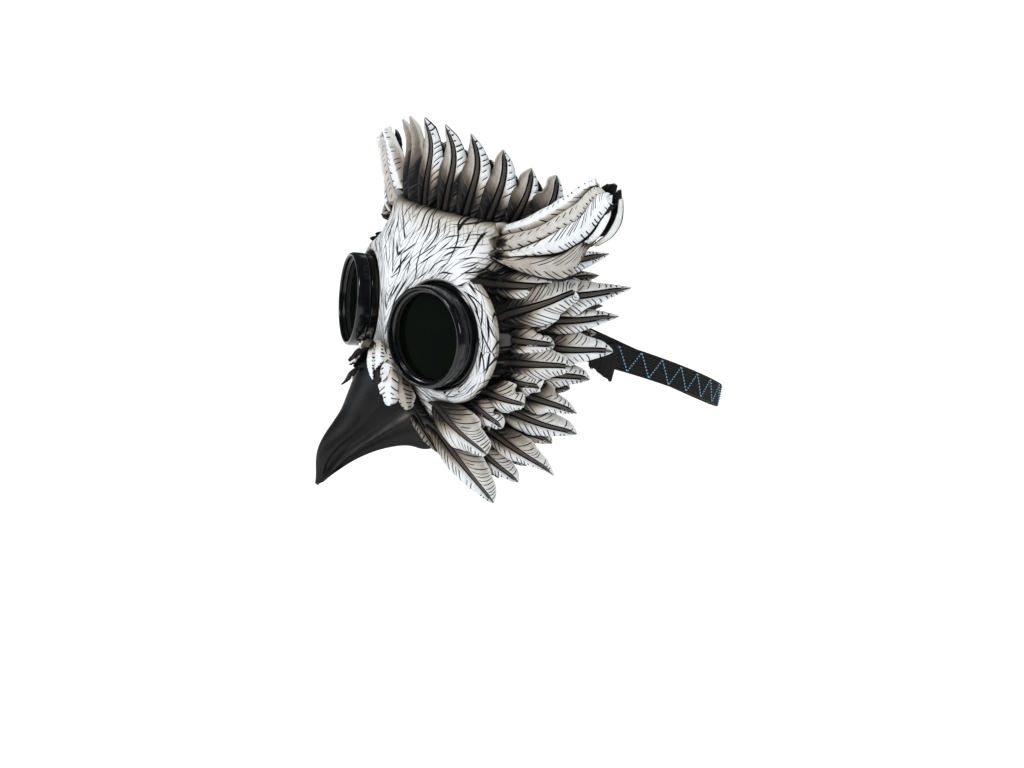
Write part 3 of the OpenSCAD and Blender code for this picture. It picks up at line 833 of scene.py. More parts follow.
class Occluder:
    """How shut in a point is, from rays over the half space above it."""

    def __init__(self):
        turn = (np.arange(RAYS) * GOLDEN_ANGLE) % (2 * math.pi)
        lean = np.sqrt((np.arange(RAYS) + 0.5) / RAYS)
        self.rays = np.stack([lean * np.cos(turn), lean * np.sin(turn), np.sqrt(1 - lean ** 2)], -1)
        self.points, self.faces = [], []

    def block(self, grid):
        base = sum(len(p) for p in self.points)
        self.points.append(grid.reshape(-1, 3))
        self.faces += [[i + base for i in f] for f in sheet_faces(*grid.shape[:2])]

    def ready(self):
        self.tree = BVHTree.FromPolygons(np.concatenate(self.points).tolist(), self.faces)

    def at(self, points, normals):
        """The share of the sky that is blocked, nearer walls counting more."""
        shut = np.zeros(len(points))
        for n, (p, up) in enumerate(zip(points, normals)):
            side = unit(np.cross(up, [0.3, 0.2, 0.93]))
            other = np.cross(up, side)
            total = 0.0
            start = Vector(p + up * 0.7)
            for ray in self.rays:
                way = Vector(side * ray[0] + other * ray[1] + up * ray[2])
                far = self.tree.ray_cast(start, way, RAY_REACH)[3]
                if far is not None:
                    total += 1 - 0.6 * far / RAY_REACH
            shut[n] = total / len(self.rays)
        return shut


occluder = Occluder()


def grid_normals(grid):
    down = np.gradient(grid, axis=0)
    over = np.gradient(grid, axis=1)
    return unit(np.cross(over, down))


def coarse_of(leaf, rows):
    """A light version of a leaf's top, a few rows and 7 columns, with where they came from."""
    n, top = leaf["grid"].shape[0], leaf["top"]
    j = np.unique(np.linspace(1, n - 2, rows).astype(int))
    i = np.unique(np.linspace(0, top - 1, 7).astype(int))
    return leaf["grid"][np.ix_(j, i)], j, i


def shade_leaf(leaf):
    """Spreads the shut-in share over a leaf's top from a coarse grid of samples."""
    grid, j, i = coarse_of(leaf, 15)
    normals = facing(grid_normals(grid), leaf["up_hint"])
    shut = occluder.at(grid.reshape(-1, 3), normals.reshape(-1, 3)).reshape(grid.shape[:2])
    n, wide = leaf["grid"].shape[:2]
    rows = along_table(np.arange(n), j, shut)
    full = np.stack([np.interp(np.arange(leaf["top"]), i, row) for row in rows])
    return np.concatenate([full, np.repeat(full.mean(1, keepdims=True), wide - leaf["top"], 1)], 1)


def paint_leaf(leaf, shut):
    """Painted shade and the wash: painted shade in hollows (from the shut-in share), at the root and on the shaded
    vane, plus the leaf's own grey wash; white toward the tip.
    """
    k, u, frac = leaf["k"], leaf["u"], leaf["frac"]
    # painted shade at the root, where the leaf dives into the skin or under its neighbours
    root = k["root_dark"] * (1 - smooth(-0.15, k["reach"] * 1.6, u)) ** 0.9
    # painted shade on the shaded vane, and a darker band along the shaft toward the root
    dark = k["dark"] * np.clip(frac * k["dark_side"], 0, 1) ** 0.4 * (1 - k["dark_fade"] * smooth(0.4, 0.95, u))
    dark = dark + 0.30 * k["ridge"] * np.exp(-(frac / 0.22) ** 2) * (1 - smooth(0.2, 0.8, u))
    dark = dark + k["tip_dark"] * smooth(0.72, 0.9, u)
    # painted shade where neighbouring leaves shut the point in
    hollow = 2.5 * np.clip(shut - 0.2, 0, 1) ** 1.2
    wash = hollow + root + dark + k["wash"]
    rim = np.clip((np.abs(frac) - 0.9) / 0.1, 0, 1)
    return np.clip(wash * (1 - 0.45 * rim * smooth(0.3, 0.6, u)), 0, 1)


# The leaves of each group, which becomes one piece.
GROUPS = {}


def add_leaf(group, f, rng, rows=12, **style):
    leaf = leaf_grid(f, rng, **style)
    leaf["up_hint"] = f.up
    GROUPS.setdefault(group, []).append(leaf)
    occluder.block(coarse_of(leaf, rows)[0])


def grow(group, feathers, seed, styles=None, **shared):
    """Makes the leaves of a group; styles gives changes for single feathers by their number."""
    rng = np.random.default_rng(SEED + seed)
    for number, f in enumerate(feathers):
        style = {**shared, **(styles or {}).get(number, {})}
        if callable(style.get("dark_side")):
            style["dark_side"] = style["dark_side"](f)
        add_leaf(group, f, rng, **style)


def build_leaf_group(group, material):
    skin = Skin()
    for leaf in GROUPS[group]:
        wash = paint_leaf(leaf, shade_leaf(leaf))
        skin.add(leaf["grid"], tube_faces(*leaf["grid"].shape[:2]), ink=leaf["ink"].ravel(),
                 shaft=leaf["shaft"].ravel(), wash=wash.ravel(), leaf_mm=leaf["mm"].reshape(-1, 3))
    return skin.build(group + "_latex", material, 62.0)


def upper_side(f):
    """Which vane of a feather looks to the top of the head: the one given painted shade, the shadow of the feather
    above it.
    """
    return 1 if f.side[2] > 0 else -1


def inner_side(f):
    """Which vane is nearer to the middle plane."""
    return 1 if f.side[0] * f.tip[0] < 0 else -1


# The lines between the strips of the brow tuft on the wearer's left, from the brow to the tips.
TUFT_LINES = [
    [[60, 15, 71], [70, 18, 76], [78, 20, 81.5], [85, 21.5, 85.5], [92, 22.5, 90.5], [100, 23, 95.5], [111, 24, 103],
     [117, 25, 105.5]],
    [[59, 9, 63], [74, 11, 68], [87, 15, 74], [100, 18, 83], [109, 21, 90.5], [114, 22, 97], [119, 23.5, 101.5],
     [121, 26, 101]],
    [[62, 6, 54], [76, 9, 58.5], [90, 14, 67], [102, 18, 75.5], [112, 20.5, 82], [118, 21.5, 90], [123, 22.5, 97],
     [127, 25, 99]],
    [[64, 4, 50], [77, 8, 54.5], [89, 13.5, 57.5], [100, 20, 61], [109, 23, 67], [118, 25.5, 75], [127, 25.5, 86],
     [134, 24, 94]],
    [[65, 3, 49], [73, 6.5, 47], [81, 11.5, 45], [89, 17.5, 43.5], [97, 24.5, 44], [105, 28.5, 51.5], [112, 29, 64],
     [115, 28, 71]],
]
TUFT_FACING = np.array([0.45, -0.85, -0.25])
# Both edges of the curls behind the tips, and how dark each is.
TUFT_CURLS = [
    ([[115, 26, 71], [122, 26, 79], [127, 26, 88], [130, 25, 98]],
     [[117, 27, 70], [125, 27, 77], [130, 27, 87], [130.5, 26, 98.5]], 0.0),
    ([[118, 29, 70], [127, 30, 78], [132, 30, 87], [134, 29, 97]],
     [[119, 30, 69], [130, 31, 77], [135, 31, 87], [134.5, 30, 97.5]], 0.1),
    ([[114, 31, 78], [118, 31, 86], [122, 31, 94], [129, 31, 101]],
     [[120, 32, 71], [128, 32, 80], [132, 32, 90], [129.5, 32, 101.5]], 1.0),
    ([[106, 30, 92], [112, 31, 98], [117, 32, 102], [123, 33, 103.5]],
     [[108, 32, 88], [115, 33, 92], [122, 34, 97], [123.5, 34, 103]], 0.9),
]
# What strips and curls have in common: no shaft, no variation, a domed top and a black line along one edge, painted
# shadow where it tucks under the next leaf.
TUFT_LOOK = dict(vary=0.0, curl=0.0, bulge=0.0, ridge=0.0, line_ink=0.0, shaft=0.2, edge_line=2.0)
STRIP_LOOK = dict(TUFT_LOOK, rows=14, root_dark=0.1, slant=0.9, back=5.0, groove=0.5, thick=2.4, wave=0.35,
                  dark=0.1, droop=0.6, run_slope=1.1, line_from=0.7)
CURL_LOOK = dict(TUFT_LOOK, root_dark=0.25, reach=0.2, step=30.0, droop=0.3, dome=1.4, back=1.0, thick=1.6)


def add_strip(group, one, other, width, facing_way, rng, **style):
    """A leaf between two lines."""
    middle = (one + other) / 2
    f = Feather(middle[0], middle[len(middle) // 2], middle[-1], facing_way, width)
    f.up = unit(facing_way)
    add_leaf(group, f, rng, edges=(one, other), **style)


def grow_tuft(sign, group):
    """The moulded bundle of long strips, each a leaf between two lines, laid over the next one below."""
    flip = np.array([sign, 1.0, 1.0])
    lines = [np.array(line, float) for line in TUFT_LINES]
    lowest = lines[3].copy()
    lowest[5:] = [[113, 27, 70.5], [115.5, 27.5, 72.5], [117, 28, 74]]
    strips = [(lines[0], lines[1], dict(step=5.0, cut_short=0.95, dark=0.45, dark_side=1, dome=2.2)),
              (lines[1], lines[2], dict(step=4.4, cut_short=0.95, wash=0.20, dome=2.4)),
              (lines[2], lines[3], dict(step=3.8, cut_short=0.3, wash=0.02, dome=3.0)),
              (lowest, lines[4], dict(step=4.4, cut_short=0.3, wash=0.26, dome=4.0, tip_dark=0.3, slant=1.2))]
    rng = np.random.default_rng(SEED + 12)
    for number, (upper, lower, style) in enumerate(strips):
        sink = TUFT_FACING * (2.4 - 1.1 * number)
        upper, lower = upper + sink, lower + sink
        if number < 3:
            # the lower edge goes under the next strip
            lower = lower - TUFT_FACING * 2.0 + np.array([0, 0, -1.2])
        add_strip(group, upper * flip, lower * flip, 10.0, TUFT_FACING * flip, rng, **{**STRIP_LOOK, **style})
    for one, other, wash in TUFT_CURLS:
        one, other = np.array(one, float) * flip, np.array(other, float) * flip
        add_strip(group, one, other, 5.0, TUFT_FACING * flip, rng, wash=wash, **CURL_LOOK)
    last = max(read_feathers(SIDE_NAME[sign] + "_brow_tuft"), key=lambda f: f.tip[1])
    grow(group, [last], 14, blunt=0.2, widen=1.0, root_dark=0.5, dark=0.4, dark_side=upper_side, slant=1.4)


def between_all(feathers, sink, width):
    return [a.between(b, sink, width) for a, b in zip(feathers, feathers[1:])]


def grow_crest():
    crest = sorted(read_feathers("crest"), key=lambda f: f.root[0])
    backs = between_all(crest, 7.0, 1.1)
    for f in backs:
        f.tip = f.root + (f.tip - f.root) * 0.8
    hooks = {n: dict(hook=-30 * math.tanh(f.root[0] / 8.0), curl=62 - 0.5 * abs(f.root[0]), curl_from=0.35)
             for n, f in enumerate(crest)}
    grow("crest", crest, 1, hooks, dark_side=inner_side, dark=0.62, dark_lean=0.55, blunt=0.2, grow=1.06, widen=1.2,
         root_dark=1.1, reach=0.36, slant=1.1, wash=0.02, plain_dark=1.0, step=4.6, vary=0.6, dark_fade=0.35)
    hooks = {n: dict(hook=-25 * math.tanh(f.root[0] / 8.0)) for n, f in enumerate(backs)}
    grow("crest", backs, 2, hooks, dark_side=inner_side, dark=0.62, dark_lean=0.4, curl=45, curl_from=0.4, blunt=0.3,
         root_dark=1.0, reach=0.5, wash=0.16, plain_dark=1.0, dark_fade=0.3)


def grow_row(group, seed, sink, width, upper, lower, styles=lambda count: None):
    """A row of feathers, and a smaller one sunk in every gap of it."""
    feathers = sorted(read_feathers(group), key=lambda f: -f.tip[2])
    grow(group, feathers, seed, styles(len(feathers)), dark_side=upper_side, **upper)
    grow(group, between_all(feathers, sink, width), seed + 5, dark_side=upper_side, grow=0.8, **lower)


def inner_styles(count):
    """Every third inner feather is curled up at its end, and the last one is short behind."""
    curled = {n: dict(curl=75, curl_from=0.78, blunt=0.95) for n in range(1, count, 3)}
    curled[count - 1] = dict(back=5.0)
    return curled


def grow_feathers():
    grow_crest()
    for sign, side in SIDE_NAME.items():
        grow_tuft(sign, side + "_brow_tuft")
        grow_row(side + "_outer_feathers", 20, 4.5, 1.05, dict(blunt=0.2, widen=1.14, shaft=1.7, reach=0.4),
                 dict(blunt=0.3, wash=0.2, reach=0.5, vary=0.4))
        grow_row(side + "_inner_feathers", 30, 4.0, 1.0,
                 dict(blunt=0.75, widen=1.2, wash=0.07, back=15.0, run_slope=0.3, shaft=1.7, step=3.7),
                 dict(blunt=0.5, wash=0.2, run_slope=0.35, vary=0.4), inner_styles)
        grow_row(side + "_jaw_feathers", 40, 4.0, 1.0, dict(blunt=0.3, widen=1.15, root_dark=0.6),
                 dict(blunt=0.4, wash=0.12, vary=0.4))


# ---------------------------------------------------------------- face shell
PHI_STEPS = 320


def low_z(az):
    return np.where(az < 30, -20 - 64 * (az / 30) ** 1.2,
                    np.where(az < 45, -84.0, -84 + 44 * (np.maximum(az - 45, 0) / 33) ** 1.3))


def high_z(az):
    return FOREHEAD_Z - 30 * (np.maximum(0, az - 46) / 32) ** 1.6


def eye_point(rho, phi, s):
    """A point by radius, angle and height about the eyecup's axis on the wearer's left."""
    return (EYE[1] + np.multiply.outer(rho * np.cos(phi), ACROSS[1]) + np.multiply.outer(rho * np.sin(phi), UP)
            + np.multiply.outer(s, AXIS[1]))


def face_height(rho, phi):
    """Where the line along the eyecup's axis at (rho, phi) meets the face surface."""
    low, high = np.full(np.shape(rho), -110.0), np.full(np.shape(rho), 45.0)
    for _ in range(26):
        mid = (low + high) / 2
        outside = off_face(eye_point(rho, phi, mid)) > 0
        high, low = np.where(outside, mid, high), np.where(outside, low, mid)
    return (low + high) / 2


def in_shell(rho, phi):
    p = eye_point(rho, phi, face_height(rho, phi))
    az = azimuth_of(p)
    return (p[..., 0] >= 0) & (az <= SHELL_AZ) & (p[..., 2] <= high_z(az)) & (p[..., 2] >= low_z(az))


# The collar, lip and disc round the eyecup: radius and height of each ring of points.
RIM = np.array([[28.2, -8], [28.2, -3], [28.2, 0], [31.5, 0], [31.65, 1.4], [31.9, 2.5], [32.5, 3.2], [33.3, 3.5],
                [34.3, 3.3], [35.4, 2.8], [36.8, 2.2], [38.2, 1.5], [39.5, 0.6], [40.6, -0.6], [41.4, -2.0],
                [41.7, -3.5], [41.3, -4.9], [40.3, -5.9], [39.0, -6.4]])
# The first ring that flows into the skin where the disc lies flush, and how many rings follow the disc.
MERGE_FROM = 8
SKIN_ROWS = 64
BACK_ROWS = 14


def half_face():
    """Rings about the left eyecup: collar, lip, disc and rim, then the skin to its edge and back inside."""
    phi = np.linspace(0, 2 * math.pi, PHI_STEPS, endpoint=False)
    trial = np.arange(41.0, 130.0, 0.75)
    inside = in_shell(*np.meshgrid(trial, phi))
    first_out = np.argmax(~inside, axis=1)
    low, high = trial[np.maximum(first_out - 1, 0)], trial[first_out]
    for _ in range(12):
        mid = (low + high) / 2
        ok = in_shell(mid, phi)
        low, high = np.where(ok, mid, low), np.where(ok, high, mid)
    edge = low
    merge = smooth(-10.0, -3.0, face_height(np.full_like(phi, 41.5), phi))
    rings, tags = [], []
    for row, (rho, s) in enumerate(RIM):
        free = eye_point(np.full_like(phi, rho), phi, np.full_like(phi, s))
        if row < MERGE_FROM:
            joined = free
        else:
            t = (row - MERGE_FROM + 1) / (len(RIM) - MERGE_FROM)
            wide = np.minimum(RIM[MERGE_FROM - 1, 0] + t * 13.0, edge - 0.4)
            skin = face_height(wide, phi)
            plane = np.interp(wide, [33.3, 36, 40, 47], [3.5, 2.6, 1.6, 0.0])
            joined = eye_point(wide, phi, plane + (skin - plane) * smooth(0.15, 1.0, t))
        rings.append(free * (1 - merge[:, None]) + joined * merge[:, None])
        tags.append(row)
    start = 39.0 * (1 - merge) + np.minimum(46.3, edge - 0.2) * merge
    for w in np.linspace(0, 1, SKIN_ROWS + 1)[1:]:
        rho = start + (edge - start) * w
        rings.append(eye_point(rho, phi, face_height(rho, phi)))
        tags.append(100 + w)
    outer_edge = rings[-1]
    for w in np.linspace(1, 0, BACK_ROWS):
        rho = 33.5 + (edge - 33.5) * w
        p = eye_point(rho, phi, face_height(rho, phi))
        p = p - outward(p) * WALL
        deep = np.minimum((p - EYE[1]) @ AXIS[1], -8.0)
        keep = smooth(33.5, 40.0, rho)
        flat = eye_point(rho, phi, deep)
        rings.append(p * keep[:, None] + flat * (1 - keep[:, None]))
        tags.append(-1)
    grid = np.stack(rings)
    grid[:, :, 0] = np.where(np.abs(grid[:, :, 0]) < 0.02, 0.0, grid[:, :, 0])
    on_mid = outer_edge[:, 0] < 0.05
    last_out = len(RIM) + SKIN_ROWS - 1
    for row in (last_out, last_out + 1):
        grid[row, on_mid, 0] = 0.0
    return grid, np.array(tags, float), phi, merge


def roll_top(p, az):
    """Rounds the top of the forehead: it swells forward below the edge and rolls back at it."""
    below = high_z(az) - p[..., 2]
    swell = 3.2 * np.exp(-((below - 7.0) / 6.0) ** 2) * (1 - smooth(52, 66, az))
    rolled = -3.0 * (1 - smooth(0.0, 4.0, below)) * (1 - smooth(52, 66, az))
    return swell + rolled


def build_face():
    grid, tags, phi, merge = half_face()
    outer = (tags >= MERGE_FROM) & (tags > 0)
    lift = roll_top(grid, azimuth_of(grid)) * outer[:, None]
    grid = grid + outward(grid) * lift[..., None]
    grid[:, :, 0] = np.where(np.abs(grid[:, :, 0]) < 0.02, 0.0, grid[:, :, 0])
    for flip in (1, -1):
        occluder.block(grid[2:len(RIM) + SKIN_ROWS:3, ::4] * np.array([flip, 1, 1]))
    return grid, tags, phi, merge


def shade_face(grid, tags):
    """Spreads the shut-in share over the shell from every third ring and fifth column of its front."""
    rows, ring = grid.shape[:2]
    normal = facing(grid_normals(grid), outward(grid))
    j = np.arange(rows)[tags >= 3][::3]
    i = np.arange(0, ring, 5)
    pick, lean = grid[np.ix_(j, i)], normal[np.ix_(j, i)]
    shut = occluder.at(pick.reshape(-1, 3), lean.reshape(-1, 3)).reshape(pick.shape[:2])
    shut = np.concatenate([shut, shut[:, :1]], 1)
    wide = np.stack([np.interp(np.arange(ring), np.append(i, ring), row) for row in shut])
    return along_table(np.arange(rows), j, wide)


# The strokes fan out from this point under the nose bridge. Then millimetres per radian: of the fan, round the
# disc and of azimuth.
FAN_X, FAN_Z = -2.0, -34.0
FAN_ROUND, DISC_ROUND, FACE_ROUND = 52.0, 38.0, 95.0


def finish_face(grid, tags, phi, merge, material):
    rows, ring = grid.shape[:2]
    az, z = azimuth_of(grid), grid[..., 2]
    rho = np.linalg.norm(np.stack([(grid - EYE[1]) @ ACROSS[1], z], -1), axis=-1)
    below = high_z(az) - z
    s = (grid - EYE[1]) @ AXIS[1]
    apart = (1 - merge)[None]
    front = 1 - smooth(60, 70, az)
    # wash: painted shade from the shut-in share; dark at the forehead's top edge, painted shade where it rolls back
    # into the crest's valley, with a fainter band below it
    wash = 1.25 * np.clip(shade_face(grid, tags) - 0.12, 0, 1)
    wash = wash + 0.75 * (1 - smooth(-2.0, 7.0, below)) * front
    wash = wash + 0.22 * (1 - smooth(5.0, 22.0, below)) * front
    # painted shadow where the lip meets the eyecup's barrel, a cream-grey band on the rolled rim, painted shadow
    # under the disc's rim, and an even grey inside the shell
    wash = wash + 0.62 * (1 - smooth(31.9, 33.3, rho)) + 0.10 * (1 - smooth(33.0, 36.5, rho))
    rim = apart * smooth(40.2, 41.2, rho) * (1 - smooth(44, 46, rho))
    wash = wash + 0.32 * rim + 0.75 * apart * (1 - smooth(-7.0, -4.4, s)) * (tags[:, None] < 105)
    wash[tags == -1] = 0.15
    # where the strokes run: fanning up from the nose bridge, and round the disc
    x, up = FACE_ROUND * np.radians(az) - FAN_X, z - FAN_Z
    theta, reach = np.arctan2(up, x), np.hypot(x, up)
    fan = np.stack([(theta + 0.0035 * reach) * FAN_ROUND, reach, np.zeros_like(z)], -1).reshape(-1, 3)
    turn = np.broadcast_to(phi[None] * DISC_ROUND, rho.shape)
    around = np.stack([rho, turn, np.zeros_like(rho)], -1).reshape(-1, 3)
    share = apart * (1 - smooth(44.0, 50.0, rho)) + 0.5 * merge[None] * (1 - smooth(33, 36, rho))
    flat = np.abs(grid[..., 0].ravel()) < 1e-6
    quads = [q for q in tube_faces(rows, ring, closed=True) if not all(flat[v] for v in q)]
    values = dict(wash=np.clip(wash, 0, 1).ravel(), around_share=share.ravel())
    shift = np.array([300.0, 40.0, 0.0])
    skin = Skin()
    skin.add(grid, [q[::-1] for q in quads], fan_mm=fan, around_mm=around, **values)
    skin.add(grid * np.array([-1.0, 1.0, 1.0]), quads, fan_mm=fan + shift, around_mm=around + shift, **values)
    piece = skin.build("face_latex", material, 70.0)
    weld(piece, 0.004)
    return piece


def weld(piece, gap):
    """Joins the two halves where they meet in the middle plane."""
    bm = bmesh.new()
    bm.from_mesh(piece.data)
    middle = [v for v in bm.verts if abs(v.co.x) < 1e-6]
    bmesh.ops.remove_doubles(bm, verts=middle, dist=gap * MM)
    bm.to_mesh(piece.data)
    bm.free()


# ---------------------------------------------------------------- beak
BEAK_TOP = np.array([0.0, -34.0, -20.0])
BEAK_REACH, BEAK_DROP, TIP_HOOK, SWELL, SWELL_FROM = 34.0, 88.0, 3.0, 6.5, 0.4
EDGE_ROOT = np.array([37.0, -5.0, -72.0])
EDGE_DROP = BEAK_DROP - 54.0


def beak_point(t, turn, inset=0.0):
    """A point of the beak's skin: t from its root to its tip, turn from edge to edge over the ridge."""
    swell = SWELL * np.sin(np.pi * np.maximum(0, t - SWELL_FROM) / (1 - SWELL_FROM)) ** 2
    ridge_y = BEAK_TOP[1] + TIP_HOOK * t ** 6 - BEAK_REACH * t - swell + inset * 0.8
    ridge_z = BEAK_TOP[2] - BEAK_DROP * t - inset * 0.6
    wide = np.maximum(0.4, EDGE_ROOT[0] * (1 - t) ** 1.2 + 2.0 - inset)
    edge_y = EDGE_ROOT[1] - 57 * t
    edge_z = EDGE_ROOT[2] - EDGE_DROP * t ** 2.2
    a = np.radians(turn)
    return np.stack([wide * np.sin(a), ridge_y + (edge_y - ridge_y) * (1 - np.cos(a)),
                     ridge_z + (edge_z - ridge_z) * (1 - np.cos(a))], -1)


def build_beak(material):
    t = 0.97 * np.linspace(0, 1, 110) ** 0.92
    turn = np.concatenate([np.linspace(-90, -50, 28), np.linspace(-48, 48, 41), np.linspace(50, 90, 28)])
    tt, aa = np.meshgrid(t, turn, indexing="ij")
    grid = beak_point(tt, aa)
    normal = facing(grid_normals(grid), grid - np.array([0, 10.0, -60.0]))
    fold = np.abs(aa)
    fade = smooth(0.0, 0.12, tt) * (1 - smooth(0.80, 0.97, tt))
    crease = 62 + 10 * tt
    ridge = 2.2 * np.exp(-((fold - crease) / 3.4) ** 2) * fade
    hollow = 4.4 * np.exp(-((fold - crease + 15) / 10.0) ** 2) * fade * (1 - 0.45 * tt)
    under = 1.6 * np.exp(-((fold - crease - 8) / 5.0) ** 2) * fade
    lip = 0.8 * np.exp(-((fold - 88) / 2.5) ** 2) * fade
    sag = 2.4 * np.exp(-((tt - 0.10) / 0.10) ** 2) * smooth(66, 90, fold)
    grid = grid + normal * (ridge - hollow - under + lip)[..., None] - UP * sag[..., None]
    # dust: lighter toward the top ridge and the root, a painted highlight along the side crease, and painted shade
    # in the hollow above the crease
    dust = 0.20 * smooth(62, 20, fold) + 0.85 * np.exp(-((fold - crease) / 3.6) ** 2) * fade * (1 - 0.6 * tt)
    dust = dust + 0.12 * (1 - smooth(0.0, 0.5, tt)) - 0.35 * np.exp(-((fold - crease + 12) / 8.0) ** 2)
    rows, columns = grid.shape[:2]
    occluder.block(grid[::6, ::6])
    outer_faces = [(a, d, c, b) for a, b, c, d in sheet_faces(rows, columns)]
    # the wall: the inside is the outside moved in, with the same rows, so that the edges close
    inside = beak_point(tt, aa, WALL)
    base = rows * columns
    inner_faces = [tuple(base + v for v in f[::-1]) for f in outer_faces]
    border = ([(0, i) for i in range(columns)] + [(j, columns - 1) for j in range(1, rows)]
              + [(rows - 1, i) for i in range(columns - 2, -1, -1)] + [(j, 0) for j in range(rows - 2, 0, -1)])
    index = [j * columns + i for j, i in border]
    wall = [(a, b, b + base, a + base) for a, b in zip(index, index[1:] + index[:1])]
    skin = Skin()
    skin.add(np.concatenate([grid.reshape(-1, 3), inside.reshape(-1, 3)]), outer_faces + inner_faces + wall,
             dust=np.concatenate([np.clip(dust, 0, 1).ravel(), np.full(base, 0.05)]))
    return skin.build("beak_rubber", material, 48.0)


# ---------------------------------------------------------------- nose tuft and feathers beside the beak
def curl_feather(root, tip, facing_way, width, lift):
    """A short feather by its ends, bowed off its chord."""
    root, tip = np.asarray(root, float), np.asarray(tip, float)
    up = Feather(root, root, tip, facing_way, width).up
    return Feather(root, (root + tip) / 2 + up * lift, tip, up, width)


# Ragged bits over the root of the beak, from the middle outward: root, tip, width and how dark.
NOSE_BITS = [
    ((4.0, -37.0, -17.0), (11.0, -38.5, -36.0), 6.5, 0.0), ((8.0, -34.5, -15.0), (14.0, -35.0, -29.0), 8.0, 0.0),
    ((13.5, -32.0, -19.0), (20.5, -32.0, -35.0), 8.0, 0.0), ((3.5, -36.5, -14.0), (2.0, -42.5, -18.5), 5.5, 0.6),
    ((8.0, -35.0, -22.0), (15.0, -35.5, -37.0), 7.0, 0.8),
]
# Two dark curls, on the wearer's right only.
NOSE_CURLS = [((-3.0, -38.0, -20.0), (-8.0, -43.5, -30.0), 5.0, 0.75),
              ((-4.0, -40.5, -33.0), (-9.0, -46.0, -45.5), 4.5, 0.7)]
# The flaps beside the beak on the wearer's left: root, tip and width.
NOSE_FLAPS = [((19.5, -31.5, -26.0), (24.5, -32.0, -49.0), 14.0), ((25.5, -28.0, -31.0), (31.5, -24.0, -49.5), 11.0)]
# What torn bits and flaps have in common: no shaft and a lined, torn edge.
TORN_LOOK = dict(shaft=0.3, line_ink=0.0, ridge=0.0, dome=1.0, droop=0.8, thick=1.6, widen=1.0)


def grow_nose():
    """Torn bits and curls over the root of the beak, two flaps beside it and a barbed strip along its edge."""
    rng = np.random.default_rng(SEED + 70)
    bits = NOSE_BITS + [((-a[0], a[1], a[2] + 1.5), (-b[0], b[1], b[2] + 2.0), width, wash)
                        for a, b, width, wash in NOSE_BITS] + NOSE_CURLS
    leaves = [curl_feather(a, b, [0.08 * a[0], -1, 0.3], width, 2.2) for a, b, width, _ in bits]
    styles = {n: dict(wash=bit[3], curl=rng.uniform(25, 80), hook=rng.uniform(-30, 30), blunt=rng.uniform(0.4, 1.0))
              for n, bit in enumerate(bits)}
    grow("nose_tuft", leaves, 71, styles, curl_from=0.5, step=2.6, bulge=0.0, wave=1.6, root_dark=0.35, dark_side=1,
         dark=0.15, slant=0.4, torn=0.3, edge_line=1.6, back=3.0, cut_short=0.6, **TORN_LOOK)
    for sign, side in SIDE_NAME.items():
        flip = np.array([sign, 1, 1])
        group = side + "_nose_feathers"
        flaps = [curl_feather(np.array(a) * flip, np.array(b) * flip, np.array([0.6, -1, 0.1]) * flip, width, 1.5)
                 for a, b, width in NOSE_FLAPS]
        grow(group, flaps, 85, {1: dict(wash=0.3, step=2.8)}, dark_side=upper_side, dark=0.2, blunt=1.0, curl=15,
             wave=1.8, step=4.2, bulge=0.3, root_dark=0.4, torn=0.25, edge_line=1.5, back=5.0, slant=0.8,
             cut_short=0.4, **TORN_LOOK)
        strip = curl_feather(np.array([30.5, -23.5, -43.0]) * flip, np.array([43.0, -4.5, -76.0]) * flip,
                             np.array([0.7, -1, -0.1]) * flip, 11.0, 1.0)
        grow(group, [strip], 88, dark_side=upper_side, dark=0.3, wash=0.42, blunt=0.3, curl=0, shaft=0.5, step=3.2,
             root_dark=0.5, slant=0.9, widen=1.0, wave=0.8)


# ---------------------------------------------------------------- eyecups
def turned_piece(name, outline, side, material, radius):
    """An outline turned about Z and set on the eyecup's axis."""
    points, faces = lathe(rounded(outline, radius), 160)
    if side > 0:
        faces = [f[::-1] for f in faces]
    other = np.cross(AXIS[side], ACROSS[side])
    skin = Skin()
    skin.add(EYE[side] + points[:, :1] * ACROSS[side] + points[:, 1:2] * other + points[:, 2:] * AXIS[side], faces)
    return skin.build(name, material, 40.0)


# Closed outlines of radius and height about the eyecup's axis.
EYECUP = [[24, -11], [28, -11], [28, 0], [31.3, 0], [31.3, 1.4], [30.2, 2.0], [29.7, 2.6],
          [29.7, 7.4], [28.6, 7.6], [28.6, 11.5], [27, 11.5], [27, 5.5], [24, 5.5]]
BEZEL = [[28.75, 7.8], [29.4, 7.8], [30.0, 8.4], [30.0, 14.3], [29.5, 15.8], [28.6, 16.5], [27.7, 16.3],
         [27.3, 15.6], [27.3, 13.4], [25.7, 13.1], [25.7, 11.8], [28.75, 11.8]]


def stand_in(piece, node, body="mask"):
    """Lets a piece ride on a body in place of a CAD node."""
    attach(piece, body)
    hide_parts(node)


def build_eyecups(gloss):
    for side, word in SIDE_NAME.items():
        cup = turned_piece(word + "_eyecup_moulding", EYECUP, side, gloss, 0.4)
        stand_in(cup, word + "_eyecup")
        ring = turned_piece(word + "_bezel_moulding", BEZEL, side, gloss, 0.6)
        stand_in(ring, word + "_bezel", word + "_ring_body")


# ---------------------------------------------------------------- strap
# The band's width and thickness, the patch's thickness, and the round of the head behind HEAD_Y, as in the CAD.
STRAP_W, STRAP_T, PATCH_T, HEAD_BACK, HEAD_POWER = 16.5, 1.6, 1.5, 161.0, 0.75
SIDE_Z, STRAP_SLOPE, STRAP_BEND = -1.7, 0.236, 0.00056
# Ribs along the band and their depth.
RIBS, RIB_DEPTH = 9, 0.32
TAIL_Y = 77.0


def strap_z(y):
    return SIDE_Z - STRAP_SLOPE * (y - HEAD_Y) - STRAP_BEND * (y - HEAD_Y) ** 2


def run_along(line):
    return np.concatenate([[0], np.cumsum(np.linalg.norm(np.diff(line, axis=0), axis=1))])


